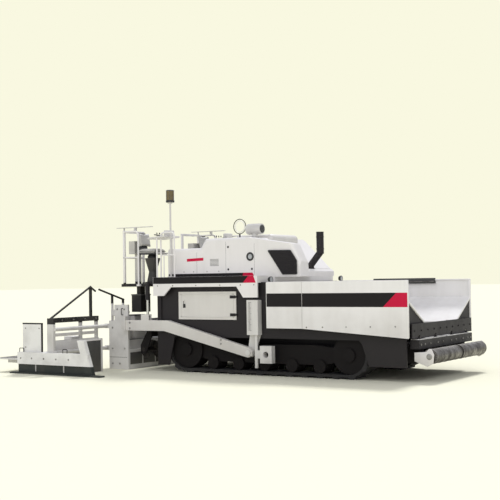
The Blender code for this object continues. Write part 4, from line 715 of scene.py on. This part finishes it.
def make_roof_fittings():
    # ribs, end cap and foot strap of the precleaner
    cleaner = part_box("air_precleaner")
    x, y = cleaner[0].x, (cleaner[0].y + cleaner[1].y) / 2
    radius = cleaner[1].y - y
    z = cleaner[1].z - radius
    rib = ring("rib", (x + 0.03, y, z), (1, 0, 0), radius - 0.5 * MM, radius + 5 * MM, 0.008)
    fit(repeated("precleaner_ribs", rib, [Vector((0.024 * step, 0, 0)) for step in range(13)]), "grey", "tractor")
    cap = turned("precleaner_cap", [(0, GAP), (radius * 0.8, GAP), (radius * 0.7, 0.018), (0, 0.030)],
                 (cleaner[1].x, y, z), (1, 0, 0), 28)
    fit(cap, "dark_grey", "tractor")
    middle = (cleaner[0].x + cleaner[1].x) / 2
    foot = ring("precleaner_strap", (middle, y, HOOD_TOP + 0.012), (0, 0, 1), 0.0602, 0.075, 0.020)
    fit(foot, "black", "tractor")
    # a black hoop on a stem beside it, and inside it a white ring that is a painted highlight of the hoop
    centre = Vector((back(4.30), y, HOOP_Z))
    for name, aside, radius, bar, look in (("roof_hoop", 0, 0.155, 0.009, "plastic"),
                                           ("roof_hoop_painted_highlight", 0.05, 0.120, 0.007, "white")):
        hoop = [centre + Vector((math.cos(math.tau * step / 24), aside, math.sin(math.tau * step / 24))) * radius
                for step in range(24)]
        fit(tube(name, hoop, bar, 0, 2, True), look, "tractor")
    stem = tube("roof_hoop_stem", [(centre.x, y, HOOD_TOP - 5 * MM), (centre.x, y, centre.z - 0.150)], 0.016, 0, 3)
    fit(stem, "plastic", "tractor")
    # exhaust: clamps, lip and sooty mouth
    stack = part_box("exhaust_stack")
    stack_x, stack_y, top = back(STACK_STATION), (stack[0].y + stack[1].y) / 2, stack[1].z
    bands = [ring("clamp", (stack_x, stack_y, height), (0, 0, 1), 0.0752, 0.081, 0.018) for height in (2.50, 2.74)]
    fit(join("exhaust_clamps", bands), "auger", "tractor")
    fit(ring("exhaust_lip", (stack_x, stack_y, top - 4 * MM), (0, 0, 1), 0.066, 0.079, 0.014), "black", "tractor")
    mouth = turned("exhaust_mouth", [(0, 0.4 * MM), (0.0655, 0.4 * MM), (0.0655, 1 * MM), (0, 1 * MM)],
                   (stack_x, stack_y, top), (0, 0, 1), 28)
    fit(mouth, "soot_and_shade", "tractor")
    collar = ring("exhaust_collar", (back(STACK_FOOT_STATION), stack_y, 2.112), (0, 0, 1), 0.083, 0.105, 0.012)
    fit(collar, "auger", "tractor")
    # base, lid and wire guard of the warning light
    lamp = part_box("beacon")
    lamp_x, lamp_y = (lamp[0].x + lamp[1].x) / 2, (lamp[0].y + lamp[1].y) / 2
    size = lamp[1].x - lamp_x
    base = ring("beacon_base", (lamp_x, lamp_y, lamp[0].z + 0.014), (0, 0, 1), size + GAP, size + 7 * MM, 0.040)
    fit(base, "plastic", "tractor")
    lid = turned("beacon_lid", [(0, GAP), (size + 3 * MM, GAP), (size + 3 * MM, 0.008), (size * 0.7, 0.020),
                                (0, 0.024)], (lamp_x, lamp_y, lamp[1].z), (0, 0, 1), 32)
    fit(lid, "plastic", "tractor")
    guard = []
    for turn in range(6):
        side = Vector((math.cos(math.tau * turn / 6), math.sin(math.tau * turn / 6), 0)) * (size + 4 * MM)
        start = Vector((lamp_x, lamp_y, lamp[0].z + 0.02)) + side
        guard.append(tube("wire", [start, start + Vector((0, 0, lamp[1].z - lamp[0].z - 0.02))], 2.5 * MM, 0, 1))
    fit(join("beacon_guard", guard), "plastic", "tractor")


# ---------------------------------------------------------------- operator's station
DECK_TOP = 1.85
LEDGE_TOP = 1.98                    # top of the hood's striped ledge
RAIL_Y, BRACE_Y = 1.36, 1.445
RAIL_MIDDLE, RAIL_TOP = 2.42, 2.98
DESK_X = -1.56


def make_station():
    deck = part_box("operator_platform")
    # tread plate of the deck, with raised bars
    tread = block("tread", (deck[0].x + 0.02, deck[1].x - 0.02), (-1.385, -0.03),
                  (DECK_TOP + GAP, DECK_TOP + 2 * MM), 0.5 * MM)
    bar = block("bar", (deck[0].x + 0.05, deck[0].x + 0.07), (-1.37, -0.05),
                (DECK_TOP + 1 * MM, DECK_TOP + 5 * MM), 1 * MM)
    bars = repeated("bars", bar, [Vector((0.06 * step, 0, 0)) for step in range(9)])
    fit_group("deck_tread", [tread, bars], "dark_grey", "tractor")
    # white hoops at the front of the deck, standing on the hood's ledge
    y, rear, front = -HOOD_Y - 0.17, back(5.78), back(5.42)
    hoop = [(rear, y, LEDGE_TOP), (rear, y, 2.93), (front, y, 2.93), (front, y, LEDGE_TOP)]
    hoops = [tube("hoop", hoop, 0.017, 0.08, 2)]
    hoops.append(tube("hoop_bar", [(rear, y, 2.45), (front, y, 2.45)], 0.013, 0, 2))
    hoops.append(tube("hoop_post", [(back(5.70), y, LEDGE_TOP), (back(5.70), y, 2.45)], 0.013, 0, 2))
    fit_group("station_hoops", hoops, "white", "tractor")
    # white sleeves of the rear rail, a braced bar along the deck's side, and the flat bar above it
    rail_x = deck[0].x + 0.06
    posts = [block("post", (rail_x - 0.024, rail_x + 0.024), (y - 0.024, y + 0.024), (1.875, 3.000), 6 * MM)
             for y in (-0.72, -RAIL_Y)]
    posts.append(block("top", (rail_x - 0.026, rail_x + 0.026), (-1.388, -0.692), (2.954, 3.006), 6 * MM))
    posts.append(block("middle", (rail_x - 0.020, rail_x + 0.020), (-1.380, -0.700), (2.400, 2.440), 6 * MM))
    brace = [(rail_x, -RAIL_Y, RAIL_TOP), (back(6.64), -BRACE_Y, RAIL_TOP), (back(6.30), -BRACE_Y, RAIL_TOP),
             (back(6.30), -BRACE_Y, 1.800)]
    posts.append(tube("brace", brace, 0.018, 0.08, 2))
    posts.append(tube("brace_bar", [(rail_x, -RAIL_Y, RAIL_MIDDLE), (back(6.64), -BRACE_Y, RAIL_MIDDLE),
                                    (back(6.30), -BRACE_Y, RAIL_MIDDLE)], 0.015, 0.03, 2))
    posts.append(block("brace_foot", (back(6.34), back(6.26)), (-1.468, -1.398), (1.800, 1.840), 4 * MM))
    fit_group("rail_sleeves", posts, "white", "tractor")
    bar = block("rail_flat_bar", (back(6.95), back(5.98)), (-1.395, -1.325), (3.062, 3.078), 3 * MM)
    props = [block("prop", (rail_x - 0.012, rail_x + 0.012), (-1.372, -1.348), (2.985, 3.064), 2 * MM),
             block("prop", (back(6.42), back(6.396)), (-BRACE_Y, -RAIL_Y), (2.985, 3.064), 2 * MM)]
    fit_group("rail_flat_bar", [bar] + props, "grey", "tractor")
    # control desk on two posts ahead of each seat
    posts = [tube("post", [(DESK_X, y, DECK_TOP), (DESK_X, y, 2.83)], 0.017, 0, 2) for y in (-0.86, -1.38)]
    posts.append(tube("cross", [(DESK_X, -0.86, 2.50), (DESK_X, -1.38, 2.50)], 0.013, 0, 2))
    fit_group("desk_posts", posts, "white", "tractor")
    desk = sheet("control_desk", [(-1.80, 2.795), (-1.36, 2.830), (-1.36, 2.868), (-1.80, 2.835)], "y",
                 (-1.40, -0.84), 8 * MM, 3)
    for copy, look in zip(both(desk, "control_desk"), ("grey", "plastic")):
        fit(copy, look, "tractor")
    case = block("desk_box", (-1.50, -1.38), (-1.22, -1.00), (2.862, 2.985), 0.015, 3)
    fit_both(case, "desk_box", "grey", "tractor")
    face = sheet("desk_panel", [(-1.78, 2.8372), (-1.52, 2.8567), (-1.52, 2.8587), (-1.78, 2.8392)], "y",
                 (-1.37, -0.87), 0.5 * MM)
    fit_both(face, "desk_panel", "dark_grey", "tractor")
    levers, knobs = [], []
    ball = [(0, -0.016), (0.011, -0.012), (0.015, 0), (0.011, 0.012), (0, 0.016)]
    for step in range(4):
        y = -0.93 - 0.09 * step
        levers.append(tube("lever", [(-1.69, y, 2.84), (-1.70, y, 2.92)], 0.005, 0, 1))
        knobs.append(turned("knob", ball, (-1.70, y, 2.93), (0, 0, 1), 16))
    wheel = ring("wheel", (-1.62, -1.28, 2.885), (0.2, 0, 1), 0.062, 0.078, 0.014)
    fit_group("desk_levers", levers, "bolt", "tractor")
    fit_group("desk_knobs", knobs + [wheel], "plastic", "tractor")
    # lids of the boxes under the deck
    trim = block("service_lid", (back(6.63), back(6.35)), (-1.31, -0.97), (1.600, 1.626), 4 * MM)
    fit_both(trim, "service_lid", "dark_grey", "tractor")
    # tail lamps on the rear edge of the deck
    tail = block("tail_lamp", (deck[0].x - 0.022, deck[0].x - GAP), (-1.36, -1.20), (1.796, 1.844), 5 * MM, 3)
    fit_both(tail, "tail_lamp", "red_lens", "tractor")


# ---------------------------------------------------------------- seats
SEAT_STATION = 6.17
SWELL = 24 * MM
PAN_TOP = 2.500


def swell(piece, low):
    """Blows a closed form up like a filled cushion. No point moves past the cap, or below the seat's pan."""
    pick(piece)
    remesh = piece.modifiers.new("even_faces", "REMESH")
    remesh.mode = "VOXEL"
    remesh.voxel_size = 6 * MM
    bpy.ops.object.modifier_apply(modifier="even_faces")
    start = [vertex.co.copy() for vertex in piece.data.vertices]
    cloth = piece.modifiers.new("cloth", "CLOTH")
    cloth.settings.use_pressure = True
    cloth.settings.uniform_pressure_force = 4
    cloth.settings.effector_weights.gravity = 0
    scene = bpy.context.scene
    for step in range(1, 21):
        scene.frame_set(step)
    bpy.ops.object.modifier_apply(modifier="cloth")
    scene.frame_set(1)
    for vertex, place in zip(piece.data.vertices, start):
        move = vertex.co - place
        if move.length > SWELL:
            vertex.co = place + move * (SWELL / move.length)
        vertex.co.z = max(vertex.co.z, low)
    fine = piece.modifiers.new("fine", "SUBSURF")
    fine.levels = fine.render_levels = 1
    bpy.ops.object.modifier_apply(modifier="fine")
    return piece


def make_seats():
    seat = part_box("seat_right")
    x, y = back(SEAT_STATION), (seat[0].y + seat[1].y) / 2
    half = seat[1].x - x
    rear, front, right, left = x - half, x + half, y - half, y + half
    pad = block("pad", (rear - 0.01, front - 0.025), (right + 0.025, left - 0.025), (2.512, 2.580), 0.025, 3)
    pad = swell(pad, PAN_TOP)
    side_view = [(rear + 0.040, 2.655), (rear - 0.012, 2.945), (rear - 0.062, 2.945), (rear - 0.008, 2.655)]
    rest = sheet("rest", side_view, "y", (right + 0.035, left - 0.035), 0.015, 3)
    rest = swell(rest, 2.600)
    for piece, name in ((pad, "seat_pad"), (rest, "seat_backrest")):
        for copy, side in zip(both(piece, name), ("right", "left")):
            fit(copy, "vinyl", "swivel_seat_" + side, 60)
            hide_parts("seat_" + side)
    # piping round the pad, the pan below and behind, and the swivel's cap
    z = 2.545
    piping = [(rear + 0.01, right + 0.010, z), (front - 0.008, right + 0.010, z),
              (front - 0.008, left - 0.010, z), (rear + 0.01, left - 0.010, z)]
    fit_both(tube("seat_piping", piping, 0.004, 0.05, 1, True), "seat_piping", "plastic", "swivel_seat")
    pan = [block("pan", (rear - 0.035, front - 0.005), (right + 0.006, left - 0.006), (2.480, PAN_TOP), 6 * MM)]
    pan.append(sheet("back_pan", [(rear + 0.010, 2.485), (rear - 0.066, 2.950), (rear - 0.080, 2.950),
                                  (rear - 0.030, 2.485)], "y", (y - 0.13, y + 0.13), 3 * MM))
    cap = [(0, 2.403), (0.108, 2.403), (0.108, 2.440), (0.080, 2.482), (0, 2.482)]
    pan.append(turned("cap", cap, (x, y, 0), (0, 0, 1), 32))
    fit_group("seat_pan", pan, "plastic", "swivel_seat")


# ---------------------------------------------------------------- screed, extensions and gates
SCREED_FRONT, SCREED_REAR = back(6.68), back(7.22)
END_PLATE_Y = 1.39
EXTENSION_FRONT = back(7.44)
EXTENSION_Y = (1.46, 2.94)          # inner and outer end
STRIKE_X = back(6.50)
GATE_Y, GATE_BAND_Y = 2.98, 3.04


def make_screed_trim():
    front, end = SCREED_FRONT, END_PLATE_Y
    # joint line, bolts and handle of each end plate
    plate("end_plate_joint", (back(7.18), front - 0.01), (0.255, 0.263), "dark_grey", "screed", end, 1 * MM, 0)
    places = ((6.76, 1.30), (6.96, 1.30), (6.76, 0.45), (7.10, 0.90), (7.10, 0.45), (6.90, 0.12), (7.10, 0.12))
    bolt_row("end_plate_bolts", [(back(station), -end, z) for station, z in places], (0, -1, 0), "screed", 0.014)
    x = back(6.80)
    handle = [(x, -end - 1 * MM, 1.18), (x, -end - 0.05, 1.18), (x, -end - 0.05, 1.32), (x, -end - 1 * MM, 1.32)]
    # tread plate, and boxes with lids on the screed
    tread = block("screed_tread", (back(7.10), back(6.82)), (-1.30, -0.02), (0.6203, 0.632), 2 * MM)
    fit_both(tread, "screed_tread", "dark_grey", "screed")
    boxes = [block("box", (back(7.14), back(6.90)), (y - 0.14, y + 0.14), (0.63, 0.93), 0.012, 3)
             for y in (-1.12, -0.36)]
    boxes.append(block("upper_box", (back(7.06), back(6.86)), (-0.92, -0.58), (0.63, 1.16), 0.012, 3))
    fit_group("screed_boxes", boxes, "white", "screed")
    lids = [block("lid", (back(7.15), back(6.89)), (y - 0.15, y + 0.15), (0.915, 0.937), 4 * MM)
            for y in (-1.12, -0.36)]
    lids.append(block("lid", (back(7.07), back(6.85)), (-0.93, -0.57), (1.145, 1.168), 4 * MM))
    fit_group("screed_lids", lids, "dark_grey", "screed")
    # bands and cover of each extension cylinder
    tube_z, tube_x = 1.22, SCREED_REAR + 0.03 + 0.11
    bands = [ring("band", (tube_x, y, tube_z), (0, 1, 0), 0.0603, 0.070, 0.030) for y in (-1.33, -1.13, -0.93)]
    fit_group("cylinder_bands", bands, "black", "screed")
    cover = turned("cover", [(0.0605, -0.22), (0.064, -0.22), (0.064, 0.22), (0.0605, 0.22), (0.0605, -0.22)],
                   (tube_x, -1.13, tube_z), (0, 1, 0), 28)
    fit_both(cover, "cylinder_cover", "white", "screed")
    fit_both(tube("end_plate_handle", handle, 0.009, 0.02, 2), "end_plate_handle", "black", "screed")
    # covers over the front of the main box
    plates = [block("cover", (front + GAP, front + 6 * MM), (y - 0.20, y + 0.20), (0.10, 0.36), 3 * MM)
              for y in (-1.10, -0.66, -0.22)]
    fit_group("screed_front_covers", plates, "dark_grey", "screed")


def make_extension_trim():
    inner, outer = EXTENSION_Y
    front, strike = EXTENSION_FRONT, STRIKE_X
    skin = (front + GAP, front + 4 * MM)
    # white bar between the posts, a pale panel below it, a dark lower panel, and the dark strike-off face with its
    # pale top edge; the two dark plates are painted shade on the front faces
    for name, look, x, y, z, edge in (
        ("extension_bar", "white", (front - 0.074, front - 0.030), (-outer + 0.06, -inner - 0.01),
         (0.770, 0.835), 5),
        ("extension_panel", "hopper", skin, (-outer + 0.08, -inner - 0.05), (0.440, 0.680), 2),
        ("extension_lower_shade_panel", "dark_grey", skin, (-outer + 0.54, -inner - 0.02), (0.03, 0.39), 2),
        ("strike_shade_face", "dark_grey", (strike + GAP, strike + 3 * MM), (-outer + 0.015, -outer + 0.49),
         (0.06, 0.70), 1),
        ("strike_edge", "white", (strike - 0.032, strike + 4 * MM), (-outer + 0.004, -outer + 0.502),
         (0.7003, 0.722), 3),
    ):
        fit_both(block(name, x, y, z, edge * MM), name, look, "extension")
    # box behind the panel, and bolts on the beam
    case = block("extension_box", (front - 0.34, front - 0.12), (-2.20, -1.86), (0.41, 0.74), 0.012, 3)
    fit_both(case, "extension_box", "grey", "extension")
    bolt_row("extension_bolts", [(front + 0.5 * MM, -y, 1.11) for y in (1.55, 1.90, 2.25, 2.60, 2.85)], (1, 0, 0),
             "extension", 0.012)
    # treads of the walkway
    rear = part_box("screed_extension_right")[0].x + 0.01
    bar = block("bar", (rear, rear + 0.018), (-outer + 0.02, -inner - 0.02), (0.3003, 0.309), 2 * MM)
    rows = repeated("walkway_tread", bar, [Vector((0.045 * step, 0, 0)) for step in range(11)])
    fit_both(rows, "walkway_tread", "bolt", "extension")


def make_gate_trim():
    outer = GATE_Y
    rear, front = back(8.22), back(7.66)
    for name, x, y, z in (
        ("gate_panel_cap", (rear - 4 * MM, front + 4 * MM), (-outer + 2 * MM, -2.940), (1.035, 1.064)),
        ("gate_panel_stile", (front - 0.02, front + 5 * MM), (-outer + 2 * MM, -2.942), (0.46, 1.05)),
    ):
        fit_both(block(name, x, y, z, 3 * MM), name, "black", "gate")
    places = [(back(station), -GATE_BAND_Y, 0.325) for station in (8.22, 7.90, 7.55, 7.20, 6.85)]
    bolt_row("gate_bolts", places, (0, -1, 0), "gate", 0.013)
    places = [(back(station), -2.972, z) for station, z in ((8.14, 0.95), (7.74, 0.95), (8.14, 0.55))]
    bolt_row("gate_panel_bolts", places, (0, -1, 0), "gate", 0.011)
    # lifting handles on the band, and clips that hold the gate's skirt
    y = -2.99
    grips = [tube("grip", [(back(station), y, 0.44), (back(station), y, 0.53), (back(station - 0.12), y, 0.53),
                           (back(station - 0.12), y, 0.44)], 0.008, 0.02, 2) for station in (8.30, 7.05)]
    fit_group("gate_grips", grips, "black", "gate")
    clips = [block("clip", (back(station), back(station) + 0.03), (-2.988, -2.9805), (0.05, 0.20), 2 * MM)
             for station in (7.85, 7.05)]
    fit_group("gate_clips", clips, "grey", "gate")


# ---------------------------------------------------------------- arms, chassis and lamps
ARM_FACE_Y = 1.5405
DOOR_Y = 1.433
SCALE_PITCH = 0.022


def make_arm_trim():
    places = ((6.62, 0.90), (6.62, 1.02), (6.48, 0.90), (6.48, 1.02), (4.10, 0.62), (4.10, 0.70))
    bolt_row("arm_bolts", [(back(station), -ARM_FACE_Y, z) for station, z in places], (0, -1, 0), "screed", 0.014)
    # blank marks of the tow point's height scale, every fifth one longer
    reach = abs(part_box("tow_point_right")[0].y)
    scale = [block("mark", (back(3.41), back(3.37) if step % 5 else back(3.34)), (-reach - 1 * MM, -reach + 2 * MM),
                   (0.90 + SCALE_PITCH * step, 0.904 + SCALE_PITCH * step), 0) for step in range(26)]
    fit_group("tow_scale", scale, "film_black", "tractor")


def make_side_trim():
    face = -DOOR_Y - GAP
    # stiffening frame, latch, handle and hinge leaves of the door
    bars = [block("bar", x, (face, -DOOR_Y - 3 * MM), z, 1 * MM) for x, z in (
        ((-0.90, 0.43), (1.605, 1.625)), ((-0.90, 0.43), (1.145, 1.165)),
        ((-0.90, -0.88), (1.145, 1.625)), ((0.41, 0.43), (1.145, 1.625)))]
    fit_group("door_frame", bars, "door", "door")
    root, grip = -DOOR_Y - 4 * MM, -DOOR_Y - 0.030
    latch = [block("latch", (-0.84, -0.78), (face, -DOOR_Y - 5 * MM), (1.34, 1.42), 2 * MM),
             tube("handle", [(-0.81, root, 1.36), (-0.81, grip, 1.37), (-0.81, grip, 1.47), (-0.81, root, 1.48)],
                  0.006, 0.01, 2)]
    fit_group("door_latch", latch, "plastic", "door")
    leaves = [block("leaf", (0.34, 0.475), (face, -DOOR_Y - 4 * MM), (z - 0.03, z + 0.03), 2 * MM)
              for z in (1.20, 1.56)]
    fit_group("door_hinge_leaves", leaves, "black", "door")
    # bolts of the skirt
    places = [(back(station), -1.55, 1.80) for station in (5.70, 5.30, 4.70, 4.10, 3.60, 3.28)]
    bolt_row("skirt_bolts", places, (0, -1, 0), "tractor", 0.009)
    # work lamps on the rear corners of the hopper
    middle = (back(2.99), -1.45, 1.90)
    shell = turned("work_lamp", [(0, 0), (0.045, 0), (0.060, 0.035), (0.060, 0.060), (0.052, 0.060), (0.050, 0.052),
                                 (0, 0.052)], middle, (1, 0, 0), 24)
    fit_both(shell, "work_lamp", "plastic", "tractor")
    glass = turned("work_lamp_glass", [(0, 0.0525), (0.0495, 0.0525), (0.0495, 0.057), (0, 0.060)], middle,
                   (1, 0, 0), 24)
    fit_both(glass, "work_lamp_glass", "lamp", "tractor")


def main():
    set_camera()
    set_stage()
    finish_nodes()
    make_stripes()
    make_hopper_trim()
    make_conveyor_details()
    make_rollers_trim()
    make_hood_trim()
    make_roof_fittings()
    make_station()
    make_seats()
    make_screed_trim()
    make_extension_trim()
    make_gate_trim()
    make_arm_trim()
    make_side_trim()


main()
